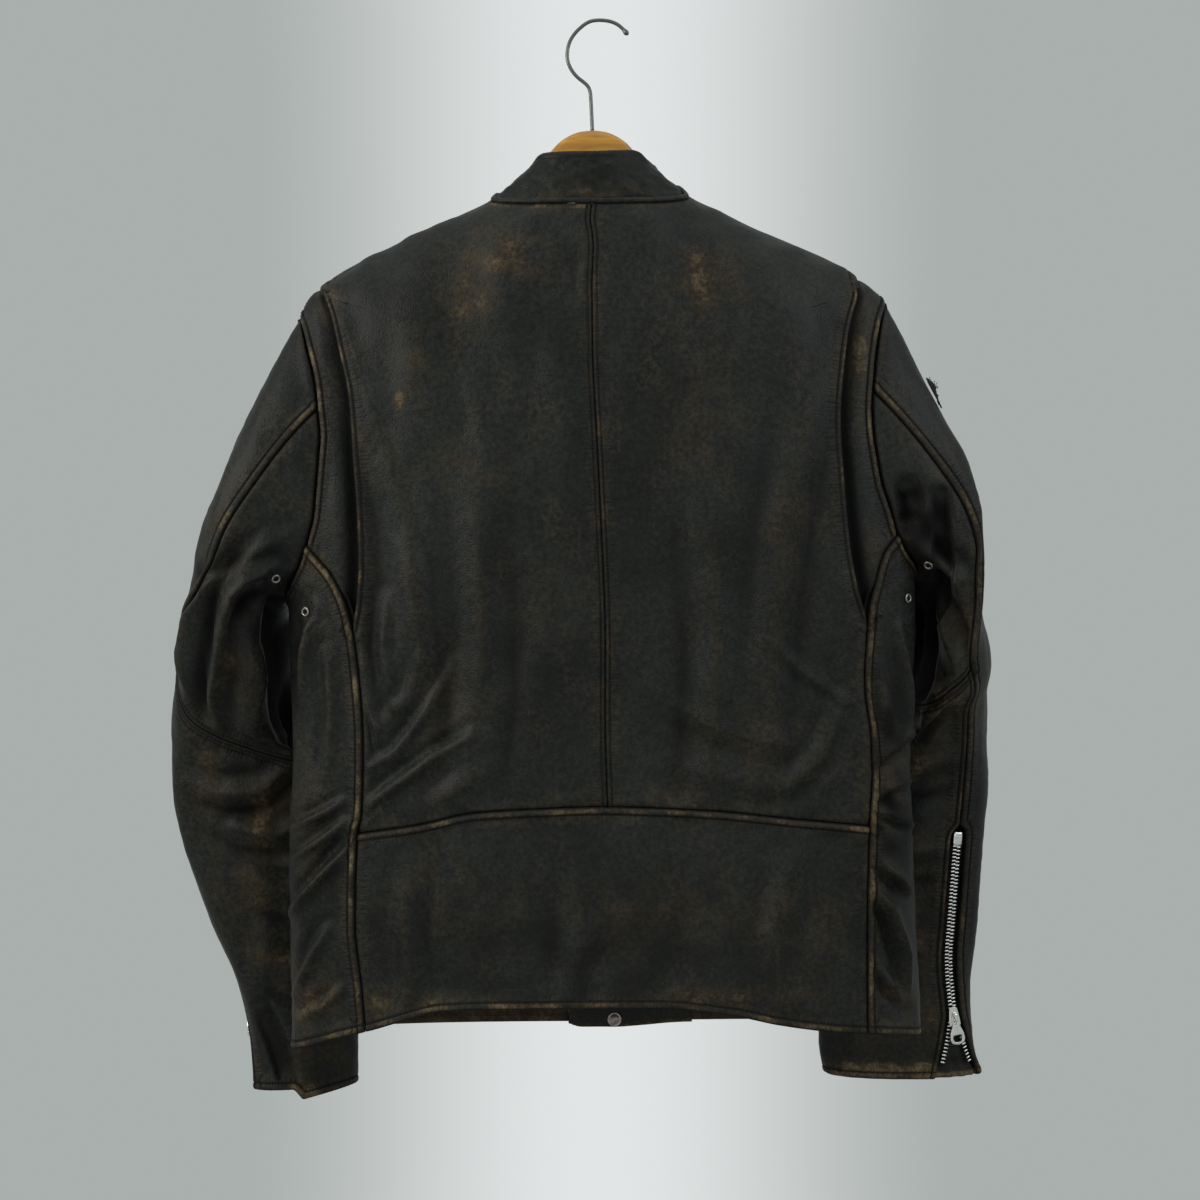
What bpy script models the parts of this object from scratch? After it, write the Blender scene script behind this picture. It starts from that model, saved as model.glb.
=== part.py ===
"""A worn leather jacket on a wooden hanger, seen flat as it hangs.

Lengths inside this script are millimetres and angles are degrees; Blender gets metres.
The back of the jacket faces -Y, its wearer's right is +X and +Z is up.
The origin is where the hanger's hook rests on what holds it.
"""
import bpy
import bmesh
import numpy as np

MM = 0.001
LEATHER = 2.0            # wall of one layer of leather
SEAM_GAP = 0.55          # each cut piece stops this far short of its seam line
ARMHOLE_GAP = 1.0        # a sleeve starts this much further out than the armhole seam
NECK_GAP = 0.9           # clear space on each side of the collar's piping
LAYER_GAP = 0.35         # clear space between two layers that lie on each other
COLLAR_WALL = 2.6        # the collar is two thin layers sewn together
PIPING = 3.4             # radius of the roll at the foot of the collar
PLEAT_UNDER = 18.0       # how far each action pleat runs on beneath the back
PLEAT_CLEAR = 1.9        # clear space between the back and the pleat under it
PLEAT_STAND = 2.4        # how far the back's pleat edge stands proud
ZIP_HALF = 8.0           # width of one zip tape with its row of teeth
ZIP_MOUTH = 6.5          # half the distance between the leather edges beside a zip
TEETH = 3.0              # width of the teeth on one tape
FRONT_EDGE = 178.4       # degrees from centre back to the fronts' zip edges
HANGER_THICK = 14.0
HANGER_MIDDLE = -4.5     # x of the hanger's centre line
WIRE = 1.5               # radius of the hook's wire
HEM_FACING = 32.0        # height of the turned-up hem inside each front


def table(names, *rows):
    """A short table with named columns."""
    return dict(zip(names.split(), np.array(rows, float).T))


# The body as level slices. left and right are x at the two sides, back and front are
# half depths, and round is how square the slice is (2 is an ellipse).
BODY = table(
    "z left right back front round",
    (-135, -74, 62, 42, 4, 2.0),
    (-147, -87, 79, 47, 8, 2.0),
    (-159, -111, 104, 52, 18, 1.95),
    (-172, -140, 131, 55, 28, 1.9),
    (-184, -165, 160, 57, 36, 1.9),
    (-197, -192, 189, 59, 42, 1.9),
    (-209, -214, 210, 60, 47, 1.95),
    (-234, -241, 236, 62, 54, 2.05),
    (-300, -252, 248, 65, 62, 2.4),
    (-400, -255, 258, 64, 64, 2.7),
    (-490, -254, 261, 62, 62, 2.8),
    (-590, -253, 256, 58, 59, 2.8),
    (-700, -253, 261, 56, 59, 2.8),
    (-860, -252, 266, 60, 62, 2.8))

# Seams that run down the body: degrees round from the centre back at each height.
CENTRE_BACK = table("z turn", (-155, -0.8), (-364, -0.1), (-493, 0.5), (-632, 1.2), (-860, 1.6))
PLEAT_EDGE = {
    "left": table("z turn", (-216, -90), (-222, -76), (-240, -63), (-271, -54), (-312, -48),
                  (-362, -45.3), (-407, -43.8), (-452, -43.3), (-475, -43.7), (-500, -45)),
    "right": table("z turn", (-207, 90), (-214, 75), (-232, 63), (-261, 54), (-296, 49),
                   (-326, 46.3), (-357, 45), (-396, 44.6), (-428, 44.8), (-466, 46.1), (-491, 48.6))}
BACK_SIDE_SEAM = {
    "left": table("z turn", (-433, -59.5), (-445, -54.5), (-455, -51), (-478, -47), (-503, -45),
                  (-531, -43.9), (-593, -42.8), (-649, -43.2), (-666, -44.2), (-739, -44.9),
                  (-789, -43.5), (-860, -42)),
    "right": table("z turn", (-424, 61), (-441, 54.5), (-458, 52), (-492, 49), (-528, 48.8),
                   (-551, 49.4), (-590, 51.8), (-613, 52), (-660, 50.3), (-734, 48.7), (-860, 47.5))}
FRONT_SIDE_SEAM = {
    "left": table("z turn", (-438, -118), (-860, -137)),
    "right": table("z turn", (-424, 116), (-860, 137))}
# Seams that run round it: the height at each angle.
NECK = table("turn z", (-180, -235), (-176, -230), (-170, -215), (-161, -190), (-144, -165),
             (-130, -156), (-115, -150), (-90, -145), (-60, -153), (-30, -158), (0, -159),
             (30, -157), (60, -150), (90, -139), (115, -146), (130, -154), (144, -165),
             (161, -190), (170, -215), (176, -230), (180, -235))
WAIST = table("turn z", (-46, -667), (-32, -658), (-22, -648), (-12, -645), (0, -643),
              (18, -646), (35, -654), (52, -661))
HEM = table("turn z", (-180, -837), (-136, -838), (-90, -846), (-68, -843), (-42, -824), (-35, -815),
            (-28, -807), (-17, -805), (9, -804), (22, -810), (30, -818), (39, -824), (47, -827),
            (78, -834), (90, -835), (136, -834), (180, -837))
# Each armhole, as degrees that it reaches in from the side on the back and on the front.
ARMHOLE = {
    "left": table("z back front", (-243, 0, 0), (-256, 14, 12), (-270, 21, 20), (-297, 29, 30),
                  (-325, 32.5, 35), (-350, 34.5, 37), (-407, 33.7, 35), (-430, 31, 30),
                  (-448, 27, 25), (-462, 20, 18), (-477, 0, 0)),
    "right": table("z back front", (-231, 0, 0), (-240, 11, 10), (-250, 18, 18), (-278, 27, 28),
                   (-301, 31, 33), (-326, 34, 36), (-350, 35, 37), (-380, 34.5, 35),
                   (-406, 31.5, 31), (-424, 29, 26), (-441, 22, 18), (-456, 0, 0))}

# The sleeves as rings from the armhole (row 0) to the cuff (row 11): the outer end and
# the inner end of each ring's long axis, and half its depth across that axis.
SLEEVE = {
    "left": table(
        "row ox oy oz ix iy iz deep",
        (0, -247, 0, -243, -256, 0, -477, 40),
        (1, -281, 5, -320, -262, 5, -488, 55),
        (2, -309, 15, -394, -270, 12, -510, 60),
        (3, -338, 25, -469, -262, 32, -560, 56),
        (4, -355, 38, -536, -245, 64, -596, 46),
        (5, -362, 46, -596, -210, 80, -632, 32),
        (6, -361, 52, -648, -200, 86, -674, 27),
        (7, -350, 60, -700, -200, 92, -720, 26),
        (8, -333, 66, -752, -206, 98, -766, 25),
        (9, -310, 70, -804, -212, 103, -810, 25),
        (10, -297, 68, -856, -213, 107, -856, 24),
        (11, -294, 64, -896, -212, 108, -898, 24)),
    "right": table(
        "row ox oy oz ix iy iz deep",
        (0, 235, 0, -231, 264, 0, -456, 40),
        (1, 279, 5, -320, 268, 5, -470, 55),
        (2, 291, 15, -394, 269, 12, -502, 53),
        (3, 315, 28, -482, 262, 40, -556, 57),
        (4, 332, 40, -538, 245, 66, -592, 46),
        (5, 331, 48, -596, 216, 80, -630, 34),
        (6, 330, 56, -648, 205, 86, -674, 29),
        (7, 327, 62, -700, 199, 90, -720, 27),
        (8, 324, 68, -752, 195, 94, -766, 26),
        (9, 320, 74, -805, 192, 97, -812, 25),
        (10, 325, 76, -856, 192, 99, -858, 25),
        (11, 330, 78, -884, 197, 100, -888, 25))}
# Sleeve seams: degrees round each ring, from its outer end towards the back.
BACK_SLEEVE_SEAM = {
    "left": table("row angle", (0, 71), (0.7, 75), (1.25, 80), (1.85, 84), (2.35, 70), (2.7, 54),
                  (3.3, 20), (4, -5), (5, -22), (7, -32), (11, -30)),
    "right": table("row angle", (0, 71), (0.7, 76), (1.2, 84), (1.5, 96), (2, 108), (2.4, 104),
                   (2.9, 86), (3.8, 59), (5, 46), (6.5, 48), (8.2, 48), (9.3, 42), (11, 40))}
FRONT_SLEEVE_SEAM = 236.0
ELBOW_SEAM = {
    "left": table("angle row", (-30, 4.0), (-5, 4.0), (20, 4.2), (40, 4.5), (60, 4.62), (105, 4.7),
                  (160, 4.62), (236, 4.5)),
    "right": table("angle row", (50, 3.0), (88, 3.05), (116, 3.0), (139, 3.05), (236, 3.3))}
EYELETS = {"left": ((-60.0, -487.0), (138.0, 0.93)), "right": ((66.0, -476.0), (144.0, 0.95))}
EYELET_RADIUS = 3.0
EYELET_WIRE = 1.0
EYELET_STAND = {"side": 1.2, "sleeve": 1.0}      # from the leather to the middle of the ring's wire
SLEEVE_ROWS = {"left": (10, 13), "right": (8, 15)}     # steps above and below the elbow
SLEEVE_END = 11.0
ARMHOLE_BLEND = 1.6      # rows over which a sleeve leaves the armhole's own line
ZIP_TOP = {"left": 6.6, "right": 6.6}          # row of each cuff zip's top stop
ZIP_SLIDER = {"left": 9.5, "right": 9.5}       # row of its slider
CUFF_SPREAD = {"left": 15.0, "right": 17.0}    # half the mouth's width at the cuff

# The collar's top edge round the neck, from centre front to centre front.
COLLAR_TOP = table(
    "turn x y z",
    (-180, -6, 66, -204), (-150, -44, 56, -182), (-120, -60, 40, -147), (-90, -59, 20, -124),
    (-65, -51, -8, -117), (-40, -45, -28, -114), (-20, -29, -38, -114.5), (0, -6, -42, -115),
    (20, 14, -38, -113.5), (40, 30, -28, -111.5), (65, 38, -8, -114), (90, 46, 20, -121),
    (120, 49, 40, -146), (150, 34, 56, -182), (180, -4, 66, -204))
# The hanger's top edge near its middle: distance from the centre line, and height.
HANGER_NECK = table("away z", (0, -90), (10, -91.2), (20, -95), (28, -100.5), (34, -106.5),
                    (41, -116), (48, -126), (57, -138), (68, -149), (80, -155),
                    (100, -159))
HANGER_ARM = 100.0
HANGER_REACH = 196.0
HOOK = table("x z", (24.8, -10.7), (20.5, -5.6), (14.9, -1.2), (7.4, 1.1), (0, 1.6), (-6.6, 0.6),
             (-12.8, -3.3), (-20.7, -11.5), (-24.6, -19.8), (-25.6, -28.9), (-23.1, -37.6),
             (-16.5, -46.2), (-9.5, -51.5), (-6.6, -56), (-5.8, -66), (-4.7, -89.7))


def along(columns, name, at):
    """A smooth curve through a table's rows that never overshoots them."""
    key = next(iter(columns))
    x, y = columns[key], columns[name]
    if x[0] > x[-1]:
        x, y = x[::-1], y[::-1]
    at = np.clip(np.asarray(at, float), x[0], x[-1])
    step = np.diff(x)
    rise = np.diff(y) / step
    slope = np.zeros_like(y)
    slope[0], slope[-1] = rise[0], rise[-1]
    for i in range(1, len(x) - 1):
        if rise[i - 1] * rise[i] > 0:
            a, b = 2 * step[i] + step[i - 1], step[i] + 2 * step[i - 1]
            slope[i] = (a + b) / (a / rise[i - 1] + b / rise[i])
    k = np.clip(np.searchsorted(x, at) - 1, 0, len(step) - 1)
    t = (at - x[k]) / step[k]
    start = y[k] * (1 + 2 * t) * (1 - t) ** 2 + step[k] * slope[k] * t * (1 - t) ** 2
    return start + y[k + 1] * t * t * (3 - 2 * t) + step[k] * slope[k + 1] * t * t * (t - 1)


def ease(t):
    """0 below 0, 1 above 1, and smooth between."""
    t = np.clip(t, 0, 1)
    return t * t * (3 - 2 * t)


def unit(v):
    return v / np.linalg.norm(v, axis=-1, keepdims=True)


def squared(angle, power):
    """Cosine and sine on a superellipse."""
    c, s = np.cos(np.radians(angle)), np.sin(np.radians(angle))
    size = (abs(c) ** power + abs(s) ** power) ** (1 / power)
    return c / size, s / size


def body_point(turn, z):
    """The point of the body's outer surface at an angle from centre back and a height."""
    turn, z = np.broadcast_arrays(np.asarray(turn, float), np.asarray(z, float))
    c, s = squared(turn, along(BODY, "round", z))
    left, right = along(BODY, "left", z), along(BODY, "right", z)
    depth = np.where(c > 0, along(BODY, "back", z), along(BODY, "front", z))
    return np.stack([(left + right) / 2 + (right - left) / 2 * s, -depth * c, z], -1)


def armhole_turn(side, z, face):
    """Degrees round to the armhole seam at a height, on the back or on the front."""
    reach = along(ARMHOLE[side], face, z)
    turn = 90 - reach if face == "back" else 90 + reach
    return -turn if side == "left" else turn


def armhole_point(side, angle):
    top, low = ARMHOLE[side]["z"][0], ARMHOLE[side]["z"][-1]
    z = top + (low - top) * (1 - np.cos(np.radians(angle))) / 2
    behind = np.sin(np.radians(angle)) >= 0
    turn = np.where(behind, armhole_turn(side, z, "back"), armhole_turn(side, z, "front"))
    outward = -1 if side == "left" else 1
    return body_point(turn, z) + (outward * ARMHOLE_GAP, 0, 0)


def sleeve_point(side, angle, row):
    """The point of a sleeve's outer surface at an angle round it and a row down it."""
    angle, row = np.broadcast_arrays(np.asarray(angle, float), np.asarray(row, float))
    columns = SLEEVE[side]

    def ends(at):
        outer = np.stack([along(columns, name, at) for name in ("ox", "oy", "oz")], -1)
        inner = np.stack([along(columns, name, at) for name in ("ix", "iy", "iz")], -1)
        return outer, inner

    outer, inner = ends(row)
    down = sum(ends(np.clip(row + 0.4, 0, 11))) - sum(ends(np.clip(row - 0.4, 0, 11)))
    across = np.cross(down, outer - inner)
    across *= -np.sign(across[..., 1:2])
    c, s = squared(angle, 2.25)
    deep = along(columns, "deep", row)
    ring = (outer + inner) / 2 + (outer - inner) / 2 * c[..., None] + unit(across) * (deep * s)[..., None]
    share = ease(row / ARMHOLE_BLEND)[..., None]
    return armhole_point(side, angle) * (1 - share) + ring * share


# ---- boundaries and patches -------------------------------------------------------

def down(seam, top, low, count=60):
    """Part of a seam that runs down, as (turn, z) pairs."""
    z = np.linspace(top, low, count)
    return np.stack([along(seam, "turn", z), z], -1)


def around(seam, start, end, count=60):
    """Part of a seam that runs round, as (turn, z) pairs."""
    turn = np.linspace(start, end, count)
    return np.stack([turn, along(seam, "z", turn)], -1)


def armhole_edge(side, face, top, low, count=40):
    """Part of the armhole on one face, with its points closer where it turns."""
    t = (1 - np.cos(np.linspace(0, np.pi, count))) / 2
    z = top + (low - top) * t
    return np.stack([armhole_turn(side, z, face), z], -1)


def straight(start, end, count=30):
    t = np.linspace(0, 1, count)[:, None]
    return np.array(start, float) * (1 - t) + np.array(end, float) * t


def join(*edges):
    return np.concatenate([edges[0]] + [edge[1:] for edge in edges[1:]])


def spread(parts, point, counts, lean):
    """Points along an edge, even on the surface: one part after another, each with its own
    count of steps, or the whole edge at once when it has one part. A lean over 1 draws
    the points towards the edge's end."""
    found = []
    if len(parts) == 1:
        counts = [sum(counts)]
    for part, count in zip(parts, counts):
        places = point(part[:, 0], part[:, 1])
        run = np.concatenate([[0], np.cumsum(np.linalg.norm(np.diff(places, axis=0), axis=1))])
        at = run[-1] * (1 - (1 - np.linspace(0, 1, count + 1)) ** lean)
        found.append(np.stack([np.interp(at, run, part[:, k]) for k in (0, 1)], -1))
    return join(*found)


def patch(point, top, low, first, last, rows, columns, lean=1.0, fade=1.0):
    """A grid between four edges, each a list of parts. top and low run round, first and
    last run down. rows and columns count the steps in each part of an edge. The higher
    fade is, the nearer the bends of top and low stay to them."""
    top, low = (spread(edge, point, columns, lean) for edge in (top, low))
    first, last = (spread(edge, point, rows, 1.0) for edge in (first, last))
    v = np.linspace(0, 1, len(first))[:, None, None]
    u = (1 - (1 - np.linspace(0, 1, len(top))) ** lean)[None, :, None]
    sides = first[:, None] * (1 - u) + last[:, None] * u
    top_bend = top[None] - top[0] * (1 - u) - top[-1] * u
    low_bend = low[None] - low[0] * (1 - u) - low[-1] * u
    return sides + top_bend * (1 - v) ** fade + low_bend * v ** fade


def body_middle(turn, z):
    x = (along(BODY, "left", z) + along(BODY, "right", z)) / 2
    return np.stack([x, np.zeros_like(x), np.asarray(z, float)], -1)


def sleeve_middle(side, row):
    columns = SLEEVE[side]
    ends = [np.stack([along(columns, k + axis, row) for axis in "xyz"], -1) for k in "oi"]
    return sum(ends) / 2


BODY_FORM = (body_point, body_middle)
SLEEVE_FORM = {
    side: (lambda angle, row, side=side: sleeve_point(side, angle, row),
           lambda angle, row, side=side: sleeve_middle(side, row)) for side in ("left", "right")}


def outward(form, first, second):
    """Unit normals of a form, away from its middle, by small steps along it."""
    point, middle = form
    step = 0.02
    one = point(first + step, second) - point(first - step, second)
    other = point(first, second + step) - point(first, second - step)
    out = unit(np.cross(one, other))
    away = np.sum(out * (point(first, second) - middle(first, second)), -1, keepdims=True)
    return out * np.sign(away)


# ---- objects ----------------------------------------------------------------------

def material(name, colour, roughness, metallic=0.0):
    found = bpy.data.materials.new(name)
    found.use_nodes = True
    shader = found.node_tree.nodes["Principled BSDF"]
    levels = [int(colour[i:i + 2], 16) / 255 for i in (0, 2, 4)]
    shader.inputs["Base Color"].default_value = [level ** 2.2 for level in levels] + [1.0]
    shader.inputs["Roughness"].default_value = roughness
    shader.inputs["Metallic"].default_value = metallic
    return found


def add(name, points, faces, skin):
    """One closed object, from points in millimetres, with its own material."""
    mesh = bpy.data.meshes.new(name)
    mesh.from_pydata([tuple(float(c) * MM for c in p) for p in points], [], faces)
    body = bmesh.new()
    body.from_mesh(mesh)
    bmesh.ops.recalc_face_normals(body, faces=body.faces)
    body.to_mesh(mesh)
    body.free()
    mesh.materials.append(material(name, *skin))
    found = bpy.data.objects.new(name, mesh)
    bpy.context.collection.objects.link(found)
    return found


def sheet(name, outer, inner, skin):
    """A wall between two grids of points."""
    rows, columns = outer.shape[:2]
    points = np.concatenate([outer.reshape(-1, 3), inner.reshape(-1, 3)])
    at = np.arange(rows * columns).reshape(rows, columns)
    faces = []
    for i in range(rows - 1):
        for j in range(columns - 1):
            quad = [at[i, j], at[i, j + 1], at[i + 1, j + 1], at[i + 1, j]]
            faces.append([int(k) for k in quad])
            faces.append([int(k) + rows * columns for k in quad[::-1]])
    rim = list(at[0, :]) + list(at[1:, -1]) + list(at[-1, -2::-1]) + list(at[-2:0:-1, 0])
    for k, here in enumerate(rim):
        after = rim[(k + 1) % len(rim)]
        faces.append([int(here), int(after), int(after) + rows * columns, int(here) + rows * columns])
    return add(name, points, faces, skin)


def trimmed(grid, inset):
    """The grid with its rim pulled in from the seam lines."""
    grid = grid.copy()
    for _ in range(2):
        for edge, beside in ((0, 1), (-1, -2)):
            line = unit(np.gradient(grid[edge], axis=0))
            way = unit(grid[beside] - grid[edge])
            square = way - line * np.sum(way * line, -1, keepdims=True)
            grid[edge] += inset * way / np.linalg.norm(square, axis=-1, keepdims=True)
        grid = grid.transpose(1, 0, 2)
    return grid


def leather(name, form, grid, lift=0.0, wall=LEATHER, skin=None):
    """A cut piece: its outer face on a form, moved out by lift, and its wall inside."""
    out = outward(form, grid[..., 0], grid[..., 1])
    lift = np.broadcast_to(lift, grid.shape[:2])[..., None]
    face = trimmed(form[0](grid[..., 0], grid[..., 1]) + out * lift, SEAM_GAP)
    return sheet(name, face, face - out * wall, skin or LEATHER_SKIN)


def sweep(name, rings, skin, closed=False):
    """A closed body through rings of points, with its ends capped unless it closes."""
    rings = np.asarray(rings)
    count, around_it = rings.shape[:2]
    faces = []
    for i in range(count if closed else count - 1):
        for j in range(around_it):
            k, after = (j + 1) % around_it, (i + 1) % count
            quad = (i * around_it + j, i * around_it + k, after * around_it + k, after * around_it + j)
            faces.append(quad)
    if not closed:
        faces.append(tuple(range(around_it))[::-1])
        faces.append(tuple(range((count - 1) * around_it, count * around_it)))
    return add(name, rings.reshape(-1, 3), faces, skin)


def wire_rings(path, radius, sides=8):
    """Round rings along a path, carried without twist."""
    path = np.asarray(path, float)
    ahead = unit(np.gradient(path, axis=0))
    side = unit(np.cross(ahead[0], (0.3, 1, 0.2)))
    rings = []
    for place, way in zip(path, ahead):
        side = unit(side - way * np.dot(side, way))
        other = np.cross(way, side)
        angle = np.radians(np.arange(sides) * 360 / sides)[:, None]
        rings.append(place + radius * (np.cos(angle) * side + np.sin(angle) * other))
    return rings


LEATHER_SKIN = ("2E2A27", 0.5)
COLLAR_SKIN = ("3A2E25", 0.5)
FACING_SKIN = ("4A3526", 0.6)
NICKEL_SKIN = ("C9CBCC", 0.3, 1.0)
TAPE_SKIN = ("1D1C1B", 0.9)
WOOD_SKIN = ("C08A4A", 0.4)
CHROME_SKIN = ("B9BCC0", 0.15, 1.0)
SIDES = ("left", "right")


# ---- the body's pieces ------------------------------------------------------------

def reach(side, value):
    """A turn on one side of the body: to the left they are negative."""
    return -abs(value) if side == "left" else abs(value)


def ridge(side, top, low):
    """The shoulder line between two heights."""
    return straight((reach(side, 90), top), (reach(side, 90), low))


def pleat_distance(side, grid):
    """How far each point lies outside the pleat edge, level with it."""
    edge_turn = along(PLEAT_EDGE[side], "turn", grid[..., 1])
    apart = body_point(grid[..., 0], grid[..., 1]) - body_point(edge_turn, grid[..., 1])
    return np.sign(abs(grid[..., 0]) - abs(edge_turn)) * np.linalg.norm(apart, axis=-1)


def back(side):
    pleat, seam = PLEAT_EDGE[side], BACK_SIDE_SEAM[side]
    start, end = pleat["z"][0], pleat["z"][-1]
    middle = [along(CENTRE_BACK, "turn", z) for z in (-159, -643)]
    corner = along(seam, "turn", -664)
    grid = patch(
        body_point,
        [around(NECK, middle[0], reach(side, 90))],
        [around(WAIST, middle[1], corner)],
        [down(CENTRE_BACK, along(NECK, "z", middle[0]), along(WAIST, "z", middle[1]))],
        [ridge(side, along(NECK, "z", reach(side, 90)), start), down(pleat, start, end),
         down(seam, end, along(WAIST, "z", corner))],
        (6, 8, 5), (8,), lean=1.3)
    z = grid[..., 1]
    held = ease((start - 8 - z) / 40) * ease((z - end) / 30)
    lift = PLEAT_STAND * held * (1 - ease(-pleat_distance(side, grid) / 25))
    leather(f"back_{side}", BODY_FORM, grid, lift)


def back_pleat(side):
    """The strip that opens behind the shoulder: its inner edge runs on beneath the back."""
    pleat, seam = PLEAT_EDGE[side], BACK_SIDE_SEAM[side]
    start, end = pleat["z"][0], pleat["z"][-1]
    armhole_top, armhole_end = ARMHOLE[side]["z"][0], seam["z"][0]
    z = np.linspace(start - 16, end - 4, 60)
    turn = along(pleat, "turn", z)
    degree = np.linalg.norm(body_point(turn * 0.98, z) - body_point(turn, z), axis=-1) / abs(turn * 0.02)
    inner = np.stack([turn - np.sign(turn) * PLEAT_UNDER / degree, z], -1)
    shoulder = (reach(side, 89), start - 10)
    low = (along(seam, "turn", end), end)
    grid = patch(
        body_point,
        [straight(inner[0], shoulder), straight(shoulder, (reach(side, 90), armhole_top))],
        [straight(inner[-1], low)],
        [inner],
        [armhole_edge(side, "back", armhole_top, armhole_end), down(seam, armhole_end, low[1])],
        (11, 4), (2, 2), fade=5.0)
    beyond = pleat_distance(side, grid)
    near_ridge = 1 - ease((start - 10 - grid[..., 1]) / 50)
    lift = -(LEATHER + PLEAT_CLEAR * (1 + 1.6 * near_ridge)) * (1 - ease((beyond - 5) / 14))
    leather(f"back_pleat_{side}", BODY_FORM, grid, lift)


def back_waist_panel():
    top = [along(BACK_SIDE_SEAM[side], "turn", -664) for side in SIDES]
    low = [along(BACK_SIDE_SEAM[side], "turn", -826) for side in SIDES]
    ends = [down(BACK_SIDE_SEAM[side], along(WAIST, "z", top[k]), along(HEM, "z", low[k]))
            for k, side in enumerate(SIDES)]
    grid = patch(body_point, [around(WAIST, *top)], [around(HEM, *low)], [ends[0]], [ends[1]], (5,), (14,))
    leather("back_waist_panel", BODY_FORM, grid)


def side_panel(side):
    back_seam, front_seam = BACK_SIDE_SEAM[side], FRONT_SIDE_SEAM[side]
    top, underarm = back_seam["z"][0], ARMHOLE[side]["z"][-1]
    ends = [along(seam, "turn", -830) for seam in (back_seam, front_seam)]
    pleat_end = PLEAT_EDGE[side]["z"][-1]
    waist = along(WAIST, "z", along(back_seam, "turn", -664))
    grid = patch(
        body_point,
        [armhole_edge(side, "back", top, underarm),
         armhole_edge(side, "front", underarm, front_seam["z"][0])],
        [around(HEM, *ends)],
        [down(back_seam, top, pleat_end), down(back_seam, pleat_end, waist),
         down(back_seam, waist, along(HEM, "z", ends[0]))],
        [down(front_seam, front_seam["z"][0], along(HEM, "z", ends[1]))],
        (4, 5, 5), (4, 4))
    leather(f"side_panel_{side}", BODY_FORM, grid)


def front(side):
    seam = FRONT_SIDE_SEAM[side]
    shoulder, armhole_top = along(NECK, "z", reach(side, 90)), ARMHOLE[side]["z"][0]
    corner = along(seam, "turn", -834)
    edge = reach(side, FRONT_EDGE)
    grid = patch(
        body_point,
        [around(NECK, edge, reach(side, 90), 120)],
        [around(HEM, edge, corner)],
        [straight((edge, along(NECK, "z", edge)), (edge, along(HEM, "z", edge)))],
        [ridge(side, shoulder, armhole_top), armhole_edge(side, "front", armhole_top, seam["z"][0]),
         down(seam, seam["z"][0], along(HEM, "z", corner))],
        (4, 6, 7), (9,), lean=1.3)
    leather(f"front_{side}", BODY_FORM, grid)


def hem_facing(side):
    """The stitched turn-up that shows inside each front's hem."""
    low = around(HEM, reach(side, 180 - 4), reach(side, 138))
    high = low + (0, HEM_FACING)
    grid = patch(body_point, [high], [low], [straight(high[0], low[0])], [straight(high[-1], low[-1])],
                 (1,), (8,))
    leather(f"front_hem_facing_{side}", BODY_FORM, grid, -LEATHER - 2 * LAYER_GAP, wall=1.2,
            skin=FACING_SKIN)


# ---- the collar -------------------------------------------------------------------

def collar_edge(turn):
    """The foot of the collar on the neckline, and its top edge over it."""
    foot = body_point(turn, along(NECK, "z", turn))
    top = np.stack([along(COLLAR_TOP, name, turn) for name in "xyz"], -1)
    return foot, top


def neck_turns(count):
    """Turns round the neckline, evenly spaced along it, that stop short of centre front."""
    turn = np.linspace(-FRONT_EDGE + 1.5, FRONT_EDGE - 1.5, 721)
    foot = collar_edge(turn)[0]
    run = np.concatenate([[0], np.cumsum(np.linalg.norm(np.diff(foot, axis=0), axis=1))])
    return np.interp(np.linspace(0, run[-1], count), run, turn)


def collar():
    """The stand collar, and the roll of piping between it and the neckline."""
    foot, top = collar_edge(neck_turns(41))
    along_neck = unit(np.gradient(foot, axis=0))
    way = unit(top - foot)
    square = way - along_neck * np.sum(way * along_neck, -1, keepdims=True)
    way = way / np.linalg.norm(square, axis=-1, keepdims=True)
    sweep("collar_piping", wire_rings(foot + way * (PIPING + NECK_GAP), PIPING, 6), LEATHER_SKIN)
    base = foot + way * 2 * (PIPING + NECK_GAP)
    rise = np.linspace(0, 1, 3)[:, None, None]
    face = base * (1 - rise) + top * rise
    sheet("collar", face, face - normals(face) * COLLAR_WALL, COLLAR_SKIN)


def normals(grid):
    """Unit normals of a grid of points whose rows run up and whose columns run round."""
    return unit(np.cross(np.gradient(grid, axis=1), np.gradient(grid, axis=0)))


# ---- the sleeves ------------------------------------------------------------------

def zip_mouth(side, row):
    """Half the distance between the leather edges along the back sleeve seam."""
    opened = ZIP_MOUTH * ease((row - ZIP_TOP[side] + 0.35) / 0.25)
    return opened + (CUFF_SPREAD[side] - ZIP_MOUTH) * ease((row - ZIP_SLIDER[side] - 0.2) / 1.5)


def beside_seam(side, row, distance):
    """Angle of a line that lies at a distance from the back sleeve seam, towards the inner side."""
    middle = along(BACK_SLEEVE_SEAM[side], "angle", row)
    span = sleeve_point(side, middle + 1, row) - sleeve_point(side, middle - 1, row)
    degree = np.linalg.norm(span, axis=-1) / 2
    return middle + distance / degree


def leather_edge(side, start, end, way, count=120):
    row = np.linspace(start, end, count)
    return np.stack([beside_seam(side, row, way * zip_mouth(side, row)), row], -1)


def sleeve_seams(side):
    """The edges that the sleeve's pieces share: the back seam's two leather edges, each cut
    where the elbow seam meets it, and the elbow seam."""
    edges = [leather_edge(side, 0, SLEEVE_END, way) for way in (-1, 1)]
    elbow = ELBOW_SEAM[side]
    crossing = int(np.argmin(abs(edges[1][:, 1] - along(elbow, "row", edges[1][:, 0]))))
    angles = np.linspace(edges[1][crossing, 0], FRONT_SLEEVE_SEAM, 60)
    seam = np.stack([angles, along(elbow, "row", angles)], -1)
    seam[0] = edges[1][crossing]
    return [[edge[:crossing + 1], edge[crossing:]] for edge in edges] + [seam]


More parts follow.
